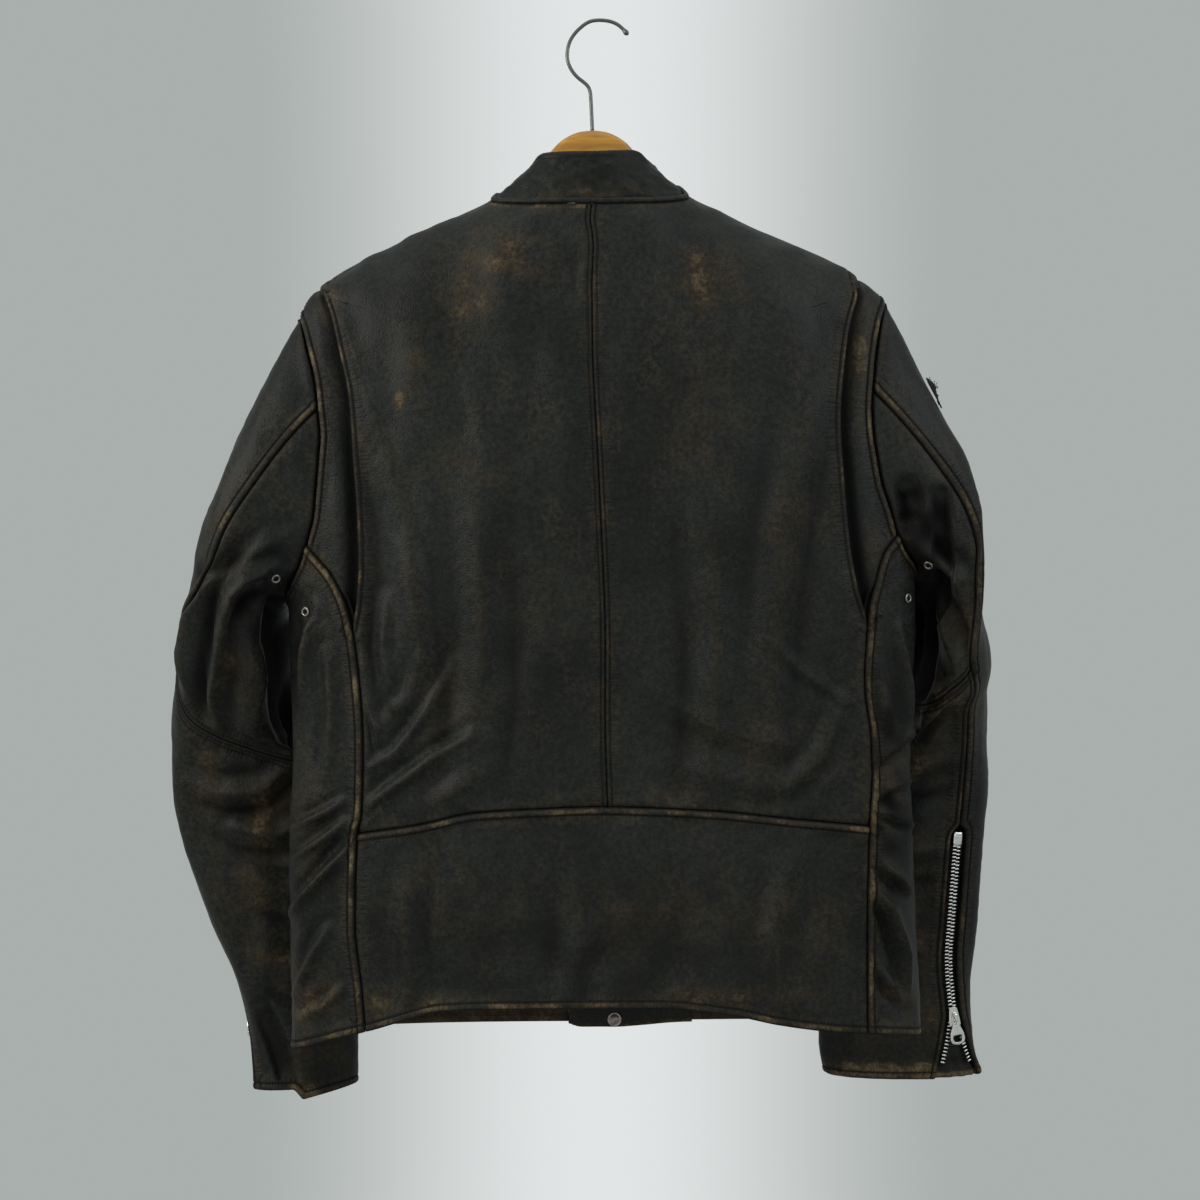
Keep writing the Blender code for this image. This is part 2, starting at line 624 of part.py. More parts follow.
def sleeve(side):
    """The top sleeve, and the under sleeve, cut in two at the elbow."""
    point = SLEEVE_FORM[side][0]
    outer, inner, elbow = sleeve_seams(side)
    last, row = FRONT_SLEEVE_SEAM, elbow[-1, 1]
    start, end = inner[0][0], inner[1][-1]
    top = patch(
        point,
        [straight((last - 360, 0), outer[0][0])],
        [straight((last - 360, SLEEVE_END), outer[1][-1])],
        [straight((last - 360, 0), (last - 360, row), 120),
         straight((last - 360, row), (last - 360, SLEEVE_END), 120)],
        outer, SLEEVE_ROWS[side], (8,))
    upper = patch(
        point,
        [straight(start, (last, 0))], [elbow], inner[:1], [straight((last, 0), (last, row), 120)],
        SLEEVE_ROWS[side][:1], (8,))
    lower = patch(
        point,
        [elbow], [straight(end, (last, SLEEVE_END))], inner[1:],
        [straight((last, row), (last, SLEEVE_END), 120)],
        SLEEVE_ROWS[side][1:], (8,))
    for label, grid in (("top", top), ("under_upper", upper), ("under_lower", lower)):
        leather(f"sleeve_{label}_{side}", SLEEVE_FORM[side], grid)


# ---- zips -------------------------------------------------------------------------

TAPE_LEVEL = -LEATHER - 3 * LAYER_GAP      # the tape's face, under the leather
TAPE_PROFILE = ((0.15, -1.0), (4.0, -1.0), (ZIP_HALF, -1.0), (ZIP_HALF, 0.0), (TEETH, 0.0), (TEETH, 1.6),
                (0.15, 1.6))


def cuff_line(side, rows, distance, level):
    """Points beside the middle of the cuff's zip, at a level from the leather's face."""
    angle = beside_seam(side, rows, distance)
    out = outward(SLEEVE_FORM[side], angle, rows)
    return sleeve_point(side, angle, rows) + out * level


def cuff_zip(side):
    """The two tapes of a cuff's zip, its slider and its pull."""
    rows = np.linspace(ZIP_TOP[side], SLEEVE_END - 0.12, 20)
    slider = ZIP_SLIDER[side]
    parted = (CUFF_SPREAD[side] - ZIP_MOUTH) * ease((rows - slider - 0.2) / 1.5)
    for label, way in (("inner", 1), ("outer", -1)):
        rings = [cuff_line(side, rows, way * (parted + a), TAPE_LEVEL + b) for a, b in TAPE_PROFILE]
        sweep(f"cuff_zip_{label}_{side}", np.stack(rings, 1), NICKEL_SKIN)
    here, after = cuff_line(side, np.array([slider, slider + 0.3]), 0.0, TAPE_LEVEL + 1.6)
    out = cuff_line(side, slider, 0.0, 1.0) - cuff_line(side, slider, 0.0, 0.0)
    return slider_and_pull(f"cuff_zip_{side}", here, unit(after - here), out)


def cuff_gusset(side):
    """The soft wedge that shows between the parted ends of the zip."""
    rows = np.linspace(ZIP_SLIDER[side] - 0.5, SLEEVE_END - 0.05, 5)[:, None]
    across = np.linspace(-1, 1, 3)[None, :] * CUFF_SPREAD[side] * 0.6
    level = TAPE_LEVEL - 1.0 - LAYER_GAP
    rows, across = np.broadcast_arrays(rows, across)
    sheet(f"cuff_gusset_{side}", cuff_line(side, rows, across, level),
          cuff_line(side, rows, across, level - 1.2), TAPE_SKIN)


def front_zip():
    z = np.linspace(-244, -826, 22)
    for label, way in (("left", -1), ("right", 1)):
        rings = [body_point(180.0, z) + (way * a, TAPE_LEVEL + b, 0) for a, b in TAPE_PROFILE]
        sweep(f"front_zip_{label}", np.stack(rings, 1), NICKEL_SKIN)
    here, after = body_point(180.0, np.array([-258, -268])) + (0, TAPE_LEVEL + 1.6, 0)
    return slider_and_pull("front_zip", here, unit(after - here), (0, 1.0, 0))


def slider_and_pull(name, centre, ahead, out, size=1.0):
    """A slider with its bridge, and a pull that hangs from the bridge."""
    centre, ahead, out = (np.asarray(v, float) for v in (centre, ahead, out))
    out = unit(out - ahead * np.dot(out, ahead))
    across = np.cross(ahead, out)

    def place(a, d, h):
        return centre + size * (across * a + ahead * d + out * h)

    def block(outline, low, high, label, hole=()):
        """A plate of one outline, with an optional hole of as many points."""
        count = len(outline)
        loops = [outline, outline] + ([hole, hole] if hole else [])
        heights = [low, high, high, low]
        points = [place(a, d, h) for loop, h in zip(loops, heights) for a, d in loop]
        faces = []
        rings = len(loops)
        for ring in range(rings if hole else 1):
            after = (ring + 1) % rings
            for k in range(count):
                m = (k + 1) % count
                faces.append((ring * count + k, ring * count + m, after * count + m, after * count + k))
        if not hole:
            faces += [tuple(range(count))[::-1], tuple(range(count, 2 * count))]
        return add(label, points, faces, NICKEL_SKIN)

    # The slider: a plate over the teeth, and a low arch on it as the bridge.
    bridge_half, plate_half = 1.1, 4.3
    rings = []
    for a in (-plate_half, plate_half):
        rings.append([place(a, d, h) for d, h in ((-8.5, 0.4), (8.0, 0.4), (8.0, 1.5), (-8.5, 1.5))])
    plate = sweep(name + "_slider", rings, NICKEL_SKIN)
    arch_points = [place(a, d, h) for a in (-bridge_half, bridge_half)
                   for d, h in ((-4.4, 1.2), (-4.0, 5.0), (-2.8, 6.0), (2.8, 6.0), (4.0, 5.0), (4.4, 1.2),
                                (2.9, 1.2), (2.9, 4.4), (2.3, 4.9), (-2.3, 4.9), (-2.9, 4.4), (-2.9, 1.2))]
    arch_faces = [tuple(range(12))[::-1], tuple(range(12, 24))]
    arch_faces += [(k, (k + 1) % 12, (k + 1) % 12 + 12, k + 12) for k in range(12)]
    arch = add(name + "_bridge_cutter", arch_points, arch_faces, NICKEL_SKIN)
    fuse = plate.modifiers.new("Bridge", "BOOLEAN")
    fuse.operation = "UNION"
    fuse.object = arch
    arch.hide_render = True
    arch.display_type = "WIRE"

    # The pull: a bell-shaped plate round an eye that clears the bridge, and a round hole low down.
    eye, low = 2.75, 24.0
    outer = ((-3.6, -0.85), (3.6, -0.85), (4.6, 2.5), (4.8, 8.0), (6.4, 16.0), (6.6, 20.0), (5.0, low - 1),
             (0.0, low), (-5.0, low - 1), (-6.6, 20.0), (-6.4, 16.0), (-4.8, 8.0), (-4.6, 2.5))
    hole = ((-2.2, 0.85), (2.2, 0.85), (2.8, 2.0), (2.8, 4.0), (2.8, 5.5), (2.8, 6.3), (1.6, 6.9),
            (0.0, 7.0), (-1.6, 6.9), (-2.8, 6.3), (-2.8, 5.5), (-2.8, 4.0), (-2.8, 2.0))
    tab = block(outer, eye - 0.7, eye + 0.7, name + "_pull", hole)
    return tab, place(0, 0, eye), across


# ---- small pieces -----------------------------------------------------------------

def rim(name, centre, out, radius, thick, skin):
    """A ring that lies on a surface, such as an eyelet."""
    out = unit(np.asarray(out, float))
    side = unit(np.cross(out, (0.2, 0.1, 1)))
    other = np.cross(out, side)
    rings = []
    for angle in np.radians(np.arange(0, 360, 30)):
        way = np.cos(angle) * side + np.sin(angle) * other
        turn = np.radians(np.arange(0, 360, 72))[:, None]
        rings.append(centre + way * radius + thick * (np.cos(turn) * way + np.sin(turn) * out))
    sweep(name, rings, skin, closed=True)


def eyelets():
    for side, (on_body, on_sleeve) in EYELETS.items():
        places = (("side", BODY_FORM, on_body), ("sleeve", SLEEVE_FORM[side], on_sleeve))
        for label, form, (first, second) in places:
            out = outward(form, first, second)
            centre = form[0](first, second) + out * EYELET_STAND[label]
            rim(f"eyelet_{label}_{side}", centre, out, EYELET_RADIUS, EYELET_WIRE, CHROME_SKIN)


def hem_tab():
    """The tab that hangs below the front hem, with its snap."""
    count = 9
    u = np.linspace(0, 1, count)
    turn = 180 + 7.0 - u * 23.0
    turn = np.where(turn > 180, turn - 360, turn)
    high = np.full(count, -800.0)
    low = -841.0 + 4.5 * ease((u - 0.35) / 0.65) + 3.0 * (1 - ease(u / 0.12))
    rows = np.linspace(0, 1, 5)[:, None]
    z = high * (1 - rows) + low * rows
    surface = body_point(np.broadcast_to(turn, z.shape), z)
    surface[..., 1] -= 4.5
    outward = np.zeros_like(surface)
    outward[..., 1] = 1.0
    sheet("front_hem_tab", surface, surface - outward * LEATHER, LEATHER_SKIN)
    centre = surface[-1, 3] + (0, -LEATHER - 0.3, 6.5)
    disc = []
    for radius, level in ((6.0, 0.0), (6.0, 1.0), (4.6, 2.2), (1.5, 2.6)):
        angle = np.radians(np.arange(0, 360, 22.5))
        ring = np.stack([np.cos(angle) * radius, np.full(16, -level), np.sin(angle) * radius], -1)
        disc.append(centre + ring)
    sweep("front_snap", disc, CHROME_SKIN)


def frayed_bit():
    """A torn flap of leather that stands off the right sleeve."""
    angle, row = np.meshgrid((31.0, 28.0, 24.0), np.linspace(0.86, 1.14, 4))
    out = outward(SLEEVE_FORM["right"], angle, row)
    stand = np.array([[0.9, 1.4, 2.2], [1.2, 3.6, 5.0], [1.0, 2.2, 3.4], [0.9, 1.2, 1.6]])[..., None]
    face = sleeve_point("right", angle, row) + out * (stand + 0.1)
    sheet("frayed_bit", face, face - out * 1.2, FACING_SKIN)


# ---- the hanger -------------------------------------------------------------------

def shoulder_height(x):
    """Height of the jacket's shoulder line at a distance to either side."""
    side = "left" if x < 0 else "right"
    z = np.linspace(-140, -240, 400)
    return float(np.interp(abs(x), abs(along(BODY, side, z)), z))


def hanger_top(away):
    if away < HANGER_ARM:
        return float(along(HANGER_NECK, "z", away))
    both = [shoulder_height(HANGER_MIDDLE + way * away) for way in (-1, 1)]
    return min(both) - LEATHER / np.cos(np.radians(27)) - 2.1


def hanger():
    rings = []
    half = HANGER_THICK / 2
    for away in np.concatenate([-np.linspace(HANGER_REACH, 48, 9), np.linspace(-41, 41, 11),
                                np.linspace(48, HANGER_REACH, 9)]):
        top = hanger_top(abs(away))
        deep = 34 - 14 * ease((abs(away) - 60) / 140)
        loop = ((-2, 0), (2, 0), (half - 1.5, -3), (half, -8), (half, -deep + 5),
                (half - 4, -deep), (-half + 4, -deep), (-half, -deep + 5), (-half, -8), (-half + 1.5, -3))
        rings.append([(HANGER_MIDDLE + away, y, top + drop) for y, drop in loop])
    sweep("hanger_body", rings, WOOD_SKIN)
    x, z = HOOK["x"], HOOK["z"]
    run = np.concatenate([[0], np.cumsum(np.hypot(np.diff(x), np.diff(z)))])
    at = np.linspace(0, run[-1], 34)
    path = np.stack([along(table("run x", *zip(run, x)), "x", at), np.zeros(34),
                     along(table("run z", *zip(run, z)), "z", at)], -1)
    radius = WIRE * (1 + 0.5 * np.exp(-((at - 2.5) / 2.2) ** 2))
    rings = [centre + (ring - centre) * r / WIRE
             for centre, ring, r in zip(path, wire_rings(path, WIRE, 6), radius)]
    sweep("hanger_hook", rings, CHROME_SKIN)


def main():
    for found in list(bpy.data.objects):
        bpy.data.objects.remove(found, do_unlink=True)
    back_waist_panel()
    for side in SIDES:
        back(side)
        back_pleat(side)
        side_panel(side)
        front(side)
        hem_facing(side)
        sleeve(side)
        cuff_gusset(side)
        cuff_zip(side)
    front_zip()
    collar()
    eyelets()
    hem_tab()
    frayed_bit()
    hanger()


main()
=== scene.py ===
"""The looks of a worn leather jacket on a wooden hanger.

Shapes are worked out in millimetres and degrees and turned to metres as each mesh is made.
The back of the jacket faces -Y, its wearer's right is +X and +Z is up.
"""
import math

import bmesh
import bpy
import numpy as np
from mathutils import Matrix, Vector


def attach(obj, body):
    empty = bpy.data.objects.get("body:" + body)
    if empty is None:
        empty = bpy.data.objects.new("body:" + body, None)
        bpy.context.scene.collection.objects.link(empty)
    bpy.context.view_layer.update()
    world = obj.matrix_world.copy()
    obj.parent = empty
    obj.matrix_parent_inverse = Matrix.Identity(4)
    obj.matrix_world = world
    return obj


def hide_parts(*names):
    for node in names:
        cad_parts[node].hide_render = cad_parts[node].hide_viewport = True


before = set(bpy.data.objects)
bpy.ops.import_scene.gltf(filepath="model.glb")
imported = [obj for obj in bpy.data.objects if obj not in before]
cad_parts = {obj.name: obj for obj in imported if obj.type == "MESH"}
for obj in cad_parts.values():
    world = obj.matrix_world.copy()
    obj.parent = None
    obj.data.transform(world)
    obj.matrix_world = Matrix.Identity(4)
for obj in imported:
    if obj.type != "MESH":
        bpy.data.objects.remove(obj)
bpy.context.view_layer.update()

MM = 0.001
SIDES = ("left", "right")
LEATHER = 2.0            # wall of one layer of leather
LAYER_GAP = 0.35         # clear space between two layers that lie on each other
ARMHOLE_GAP = 1.0        # a sleeve starts this much further out than the armhole seam
COLLAR_WALL = 2.6        # wall of the collar, which is two thin layers
PIPE = 2.3               # radius of the roll of thin leather at the foot of the collar
PLEAT_UNDER = 18.0       # how far each action pleat runs on beneath the back
PLEAT_CLEAR = 1.9        # clear space between the back and the pleat under it
PLEAT_STAND = 2.4        # how far the back's pleat edge stands proud
TURNING = 4.0            # how far a seam's turned-in edge reaches to each side
FRONT_EDGE = 178.4       # degrees from centre back to the fronts' zip edges
HEM_FACING = 32.0        # depth of the turn-up inside each front's hem
WAIST_CORNER = -664.0    # about where the waist seam meets the side seams
HEM_CORNER = -830.0      # about where the hem meets them
TAB_START = 187.0        # degrees from centre back to the hem tab's first end
TAB_REACH = 23.0         # and from there to its last end
TAB_STAND = 4.5          # how far the tab lies in front of the body
TAB_HEM = -841.0         # height of its lower edge
ZIP_HALF = 8.0           # width of one zip tape
ZIP_MOUTH = 6.5          # half the distance between the leather edges beside a zip
TAPE_LEVEL = -LEATHER - 3 * LAYER_GAP      # a zip tape's face, from the leather's face
TEETH_LEVEL = TAPE_LEVEL + 1.3             # the middle of its teeth
SLIDER_LEVEL = TAPE_LEVEL + 1.6            # the middle of its slider
TOOTH_STEP = 3.1         # from one tooth to the next on the same tape
STITCH_STEP = 3.0        # from one stitch to the next
EYE = 2.75               # level of the hole in a pull that holds its slider's bridge
PULL_LOW = 24.0          # and the pull's length
HANGER_THICK = 14.0      # of the wooden bar, front to back
HANGER_MIDDLE = -4.5     # x of its middle
SHOULDER_SLOPE = 27.0    # degrees
WIRE = 1.5               # radius of the hook's wire
WORLD_LIGHT = 0.26       # strength of the light from all round
CAMERA_LENS = 63.56      # for a sensor 36 mm wide
CAMERA_PLACE = (0.00165, -1.75, -0.4774)       # in metres, level with the jacket's middle

COARSE = 3.4             # step of a leather piece's mesh in its open parts
FINE = 1.0               # and beside its seams
SEAM_BAND = 9.0          # how far in from an edge the fine steps reach
SEAM_REACH = 14.0        # how far in from an edge its seam shapes the leather

STITCHES = []            # (name of the piece, list of lines of points)
TEETH_ROWS = []          # (name, points, outward ways, share of a step at the start)


def table(names, *rows):
    """A short table with named columns."""
    return dict(zip(names.split(), np.array(rows, float).T))


# The body as level slices: x at its sides, half depths, and how square it is (2 is an ellipse).
BODY = table(
    "z left right back front round",
    (-135, -74, 62, 42, 4, 2.0),
    (-147, -87, 79, 47, 8, 2.0),
    (-159, -111, 104, 52, 18, 1.95),
    (-172, -140, 131, 55, 28, 1.9),
    (-184, -165, 160, 57, 36, 1.9),
    (-197, -192, 189, 59, 42, 1.9),
    (-209, -214, 210, 60, 47, 1.95),
    (-234, -241, 236, 62, 54, 2.05),
    (-300, -252, 248, 65, 62, 2.4),
    (-400, -255, 258, 64, 64, 2.7),
    (-490, -254, 261, 62, 62, 2.8),
    (-590, -253, 256, 58, 59, 2.8),
    (-700, -253, 261, 56, 59, 2.8),
    (-860, -252, 266, 60, 62, 2.8))

# Seams that run down the body: degrees round from the centre back at each height.
CENTRE_BACK = table("z turn", (-155, -0.8), (-364, -0.1), (-493, 0.5), (-632, 1.2), (-860, 1.6))
PLEAT_EDGE = {
    "left": table("z turn", (-216, -90), (-222, -76), (-240, -63), (-271, -54), (-312, -48),
                  (-362, -45.3), (-407, -43.8), (-452, -43.3), (-475, -43.7), (-500, -45)),
    "right": table("z turn", (-207, 90), (-214, 75), (-232, 63), (-261, 54), (-296, 49),
                   (-326, 46.3), (-357, 45), (-396, 44.6), (-428, 44.8), (-466, 46.1), (-491, 48.6))}
BACK_SIDE_SEAM = {
    "left": table("z turn", (-433, -59.5), (-445, -54.5), (-455, -51), (-478, -47), (-503, -45),
                  (-531, -43.9), (-593, -42.8), (-649, -43.2), (-666, -44.2), (-739, -44.9),
                  (-789, -43.5), (-860, -42)),
    "right": table("z turn", (-424, 61), (-441, 54.5), (-458, 52), (-492, 49), (-528, 48.8),
                   (-551, 49.4), (-590, 51.8), (-613, 52), (-660, 50.3), (-734, 48.7), (-860, 47.5))}
FRONT_SIDE_SEAM = {
    "left": table("z turn", (-438, -118), (-860, -137)),
    "right": table("z turn", (-424, 116), (-860, 137))}
# Seams that run round it: the height at each angle.
NECK = table("turn z", (-180, -235), (-176, -230), (-170, -215), (-161, -190), (-144, -165),
             (-130, -156), (-115, -150), (-90, -145), (-60, -153), (-30, -158), (0, -159),
             (30, -157), (60, -150), (90, -139), (115, -146), (130, -154), (144, -165),
             (161, -190), (170, -215), (176, -230), (180, -235))
WAIST = table("turn z", (-46, -667), (-32, -658), (-22, -648), (-12, -645), (0, -643),
              (18, -646), (35, -654), (52, -661))
HEM = table("turn z", (-180, -837), (-136, -838), (-90, -846), (-68, -843), (-42, -824), (-35, -815),
            (-28, -807), (-17, -805), (9, -804), (22, -810), (30, -818), (39, -824), (47, -827),
            (78, -834), (90, -835), (136, -834), (180, -837))
# Each armhole, as degrees that it reaches in from the side on the back and on the front.
ARMHOLE = {
    "left": table("z back front", (-243, 0, 0), (-256, 14, 12), (-270, 21, 20), (-297, 29, 30),
                  (-325, 32.5, 35), (-350, 34.5, 37), (-407, 33.7, 35), (-430, 31, 30),
                  (-448, 27, 25), (-462, 20, 18), (-477, 0, 0)),
    "right": table("z back front", (-231, 0, 0), (-240, 11, 10), (-250, 18, 18), (-278, 27, 28),
                   (-301, 31, 33), (-326, 34, 36), (-350, 35, 37), (-380, 34.5, 35),
                   (-406, 31.5, 31), (-424, 29, 26), (-441, 22, 18), (-456, 0, 0))}

# The sleeves as rings from the armhole (row 0) to the cuff (row 11): the outer end and
# the inner end of each ring's long axis, and half its depth across that axis.
SLEEVE = {
    "left": table(
        "row ox oy oz ix iy iz deep",
        (0, -247, 0, -243, -256, 0, -477, 40),
        (1, -281, 5, -320, -262, 5, -488, 55),
        (2, -309, 15, -394, -270, 12, -510, 60),
        (3, -338, 25, -469, -262, 32, -560, 56),
        (4, -355, 38, -536, -245, 64, -596, 46),
        (5, -362, 46, -596, -210, 80, -632, 32),
        (6, -361, 52, -648, -200, 86, -674, 27),
        (7, -350, 60, -700, -200, 92, -720, 26),
        (8, -333, 66, -752, -206, 98, -766, 25),
        (9, -310, 70, -804, -212, 103, -810, 25),
        (10, -297, 68, -856, -213, 107, -856, 24),
        (11, -294, 64, -896, -212, 108, -898, 24)),
    "right": table(
        "row ox oy oz ix iy iz deep",
        (0, 235, 0, -231, 264, 0, -456, 40),
        (1, 279, 5, -320, 268, 5, -470, 55),
        (2, 291, 15, -394, 269, 12, -502, 53),
        (3, 315, 28, -482, 262, 40, -556, 57),
        (4, 332, 40, -538, 245, 66, -592, 46),
        (5, 331, 48, -596, 216, 80, -630, 34),
        (6, 330, 56, -648, 205, 86, -674, 29),
        (7, 327, 62, -700, 199, 90, -720, 27),
        (8, 324, 68, -752, 195, 94, -766, 26),
        (9, 320, 74, -805, 192, 97, -812, 25),
        (10, 325, 76, -856, 192, 99, -858, 25),
        (11, 330, 78, -884, 197, 100, -888, 25))}
# Sleeve seams: degrees round each ring, from its outer end towards the back.
BACK_SLEEVE_SEAM = {
    "left": table("row angle", (0, 71), (0.7, 75), (1.25, 80), (1.85, 84), (2.35, 70), (2.7, 54),
                  (3.3, 20), (4, -5), (5, -22), (7, -32), (11, -30)),
    "right": table("row angle", (0, 71), (0.7, 76), (1.2, 84), (1.5, 96), (2, 108), (2.4, 104),
                   (2.9, 86), (3.8, 59), (5, 46), (6.5, 48), (8.2, 48), (9.3, 42), (11, 40))}
FRONT_SLEEVE_SEAM = 236.0
ELBOW_SEAM = {
    "left": table("angle row", (-30, 4.0), (-5, 4.0), (20, 4.2), (40, 4.5), (60, 4.62), (105, 4.7),
                  (160, 4.62), (236, 4.5)),
    "right": table("angle row", (50, 3.0), (88, 3.05), (116, 3.0), (139, 3.05), (236, 3.3))}
EYELETS = {"left": ((-60.0, -487.0), (138.0, 0.93)), "right": ((66.0, -476.0), (144.0, 0.95))}
EYELET_RADIUS = 3.0
EYELET_WIRE = 1.0
EYELET_STAND = {"side": 1.2, "sleeve": 1.0}      # from the leather to the middle of the ring's wire
SLEEVE_END = 11.0        # the row of the cuff's hem
SLEEVE_ROUND = 2.25      # how square a sleeve's rings are
ARMHOLE_BLEND = 1.6      # rows over which a sleeve leaves the armhole's own line
ZIP_TOP = 6.6            # row of a cuff zip's top stop
ZIP_SLIDER = 9.5         # row of its slider
CUFF_SPREAD = {"left": 15.0, "right": 17.0}    # half the mouth's width at the cuff
CUFF_LEAN = {"left": 0.0, "right": 4.5}        # how much further the zip's inner half parts
CUFF_CORNER = {"left": 9.0, "right": 0.0}      # how far a corner of the cuff has dropped

# The collar's top edge round the neck, from centre front to centre front.
COLLAR_TOP = table(
    "turn x y z",
    (-180, -6, 66, -204), (-150, -44, 56, -182), (-120, -60, 40, -147), (-90, -59, 20, -124),
    (-65, -51, -8, -117), (-40, -45, -28, -114), (-20, -29, -38, -114.5), (0, -6, -42, -115),
    (20, 14, -38, -113.5), (40, 30, -28, -111.5), (65, 38, -8, -114), (90, 46, 20, -121),
    (120, 49, 40, -146), (150, 34, 56, -182), (180, -4, 66, -204))
# The hanger's top edge near its middle: distance from the centre line, and height.
HANGER_NECK = table("away z", (0, -90), (10, -91.2), (20, -95), (28, -100.5), (34, -106.5),
                    (41, -116), (48, -126), (57, -138), (68, -149), (80, -155),
                    (100, -159))
HANGER_ARM = 100.0       # from here out the hanger follows the jacket's shoulders
HANGER_REACH = 196.0
HOOK = table("x z", (24.8, -10.7), (20.5, -5.6), (14.9, -1.2), (7.4, 1.1), (0, 1.6), (-6.6, 0.6),
             (-12.8, -3.3), (-20.7, -11.5), (-24.6, -19.8), (-25.6, -28.9), (-23.1, -37.6),
             (-16.5, -46.2), (-9.5, -51.5), (-6.6, -56), (-5.8, -66), (-4.7, -89.7))


def along(columns, name, at):
    """A smooth curve through a table's rows that never overshoots them."""
    key = next(iter(columns))
    x, y = columns[key], columns[name]
    if x[0] > x[-1]:
        x, y = x[::-1], y[::-1]
    at = np.clip(np.asarray(at, float), x[0], x[-1])
    step = np.diff(x)
    rise = np.diff(y) / step
    slope = np.zeros_like(y)
    slope[0], slope[-1] = rise[0], rise[-1]
    for i in range(1, len(x) - 1):
        if rise[i - 1] * rise[i] > 0:
            a, b = 2 * step[i] + step[i - 1], step[i] + 2 * step[i - 1]
            slope[i] = (a + b) / (a / rise[i - 1] + b / rise[i])
    k = np.clip(np.searchsorted(x, at) - 1, 0, len(step) - 1)
    t = (at - x[k]) / step[k]
    start = y[k] * (1 + 2 * t) * (1 - t) ** 2 + step[k] * slope[k] * t * (1 - t) ** 2
    return start + y[k + 1] * t * t * (3 - 2 * t) + step[k] * slope[k + 1] * t * t * (t - 1)


def ease(t):
    """0 below 0, 1 above 1, and smooth between."""
    t = np.clip(t, 0, 1)
    return t * t * (3 - 2 * t)


def unit(v):
    """Vectors of length 1 with the same directions."""
    return v / np.linalg.norm(v, axis=-1, keepdims=True)


def squared(angle, power):
    """Cosine and sine on a superellipse."""
    c, s = np.cos(np.radians(angle)), np.sin(np.radians(angle))
    size = (abs(c) ** power + abs(s) ** power) ** (1 / power)
    return c / size, s / size


def body_point(turn, z):
    """The point of the body's outer surface at an angle from centre back and a height."""
    turn, z = np.broadcast_arrays(np.asarray(turn, float), np.asarray(z, float))
    c, s = squared(turn, along(BODY, "round", z))
    left, right = along(BODY, "left", z), along(BODY, "right", z)
    depth = np.where(c > 0, along(BODY, "back", z), along(BODY, "front", z))
    return np.stack([(left + right) / 2 + (right - left) / 2 * s, -depth * c, z], -1)


def reach(side, value):
    """A turn or a distance on one side of the body: to the left they are negative."""
    return -abs(value) if side == "left" else abs(value)


def ends_of(seam):
    """The heights at which a seam that runs down starts and ends."""
    return seam["z"][0], seam["z"][-1]


def armhole_turn(side, z, face):
    """Degrees round to the armhole seam at a height, on the back or on the front."""
    inward = along(ARMHOLE[side], face, z)
    return reach(side, 90 - inward if face == "back" else 90 + inward)


def armhole_point(side, angle):
    """The point of a sleeve's ring at the armhole, at an angle round it."""
    top, low = ends_of(ARMHOLE[side])
    z = top + (low - top) * (1 - np.cos(np.radians(angle))) / 2
    behind = np.sin(np.radians(angle)) >= 0
    turn = np.where(behind, armhole_turn(side, z, "back"), armhole_turn(side, z, "front"))
    return body_point(turn, z) + (reach(side, ARMHOLE_GAP), 0, 0)


def sleeve_ends(side, row):
    """The outer and the inner end of a sleeve ring's long axis."""
    row = np.clip(row, 0, SLEEVE_END)
    return [np.stack([along(SLEEVE[side], end + axis, row) for axis in "xyz"], -1) for end in "oi"]


def sleeve_point(side, angle, row):
    """The point of a sleeve's outer surface at an angle round it and a row down it."""
    angle, row = np.broadcast_arrays(np.asarray(angle, float), np.asarray(row, float))
    outer, inner = sleeve_ends(side, row)
    down = sum(sleeve_ends(side, row + 0.4)) - sum(sleeve_ends(side, row - 0.4))
    across = np.cross(down, outer - inner)
    across *= -np.sign(across[..., 1:2])
    c, s = squared(angle, SLEEVE_ROUND)
    deep = along(SLEEVE[side], "deep", row)
    ring = (outer + inner) / 2 + (outer - inner) / 2 * c[..., None] + unit(across) * (deep * s)[..., None]
    share = ease(row / ARMHOLE_BLEND)[..., None]
    return armhole_point(side, angle) * (1 - share) + ring * share


# ---- boundaries and patches ----

def down(seam, top, low, count=60):
    """Part of a seam that runs down, as (turn, z) pairs."""
    z = np.linspace(top, low, count)
    return np.stack([along(seam, "turn", z), z], -1)


def around(seam, start, end, count=60):
    """Part of a seam that runs round, as (turn, z) pairs."""
    turn = np.linspace(start, end, count)
    return np.stack([turn, along(seam, "z", turn)], -1)


def armhole_edge(side, face, top, low, count=40):
    """Part of the armhole on one face, with its points closer where it turns."""
    t = (1 - np.cos(np.linspace(0, np.pi, count))) / 2
    z = top + (low - top) * t
    return np.stack([armhole_turn(side, z, face), z], -1)


def straight(start, end, count=30):
    """Evenly spaced points from one to another."""
    t = np.linspace(0, 1, count)[:, None]
    return np.array(start, float) * (1 - t) + np.array(end, float) * t


def join(*edges):
    """Edges that follow each other as one, without their shared corners twice."""
    return np.concatenate([edges[0]] + [edge[1:] for edge in edges[1:]])


def body_middle(turn, z):
    """The middle of the body at a height."""
    x = (along(BODY, "left", z) + along(BODY, "right", z)) / 2
    return np.stack([x, np.zeros_like(x), np.asarray(z, float)], -1)


def sleeve_middle(side, row):
    """The middle of a sleeve at a row."""
    return sum(sleeve_ends(side, row)) / 2


BODY_FORM = (body_point, body_middle)
SLEEVE_FORM = {
    side: (lambda angle, row, side=side: sleeve_point(side, angle, row),
           lambda angle, row, side=side: sleeve_middle(side, row)) for side in SIDES}


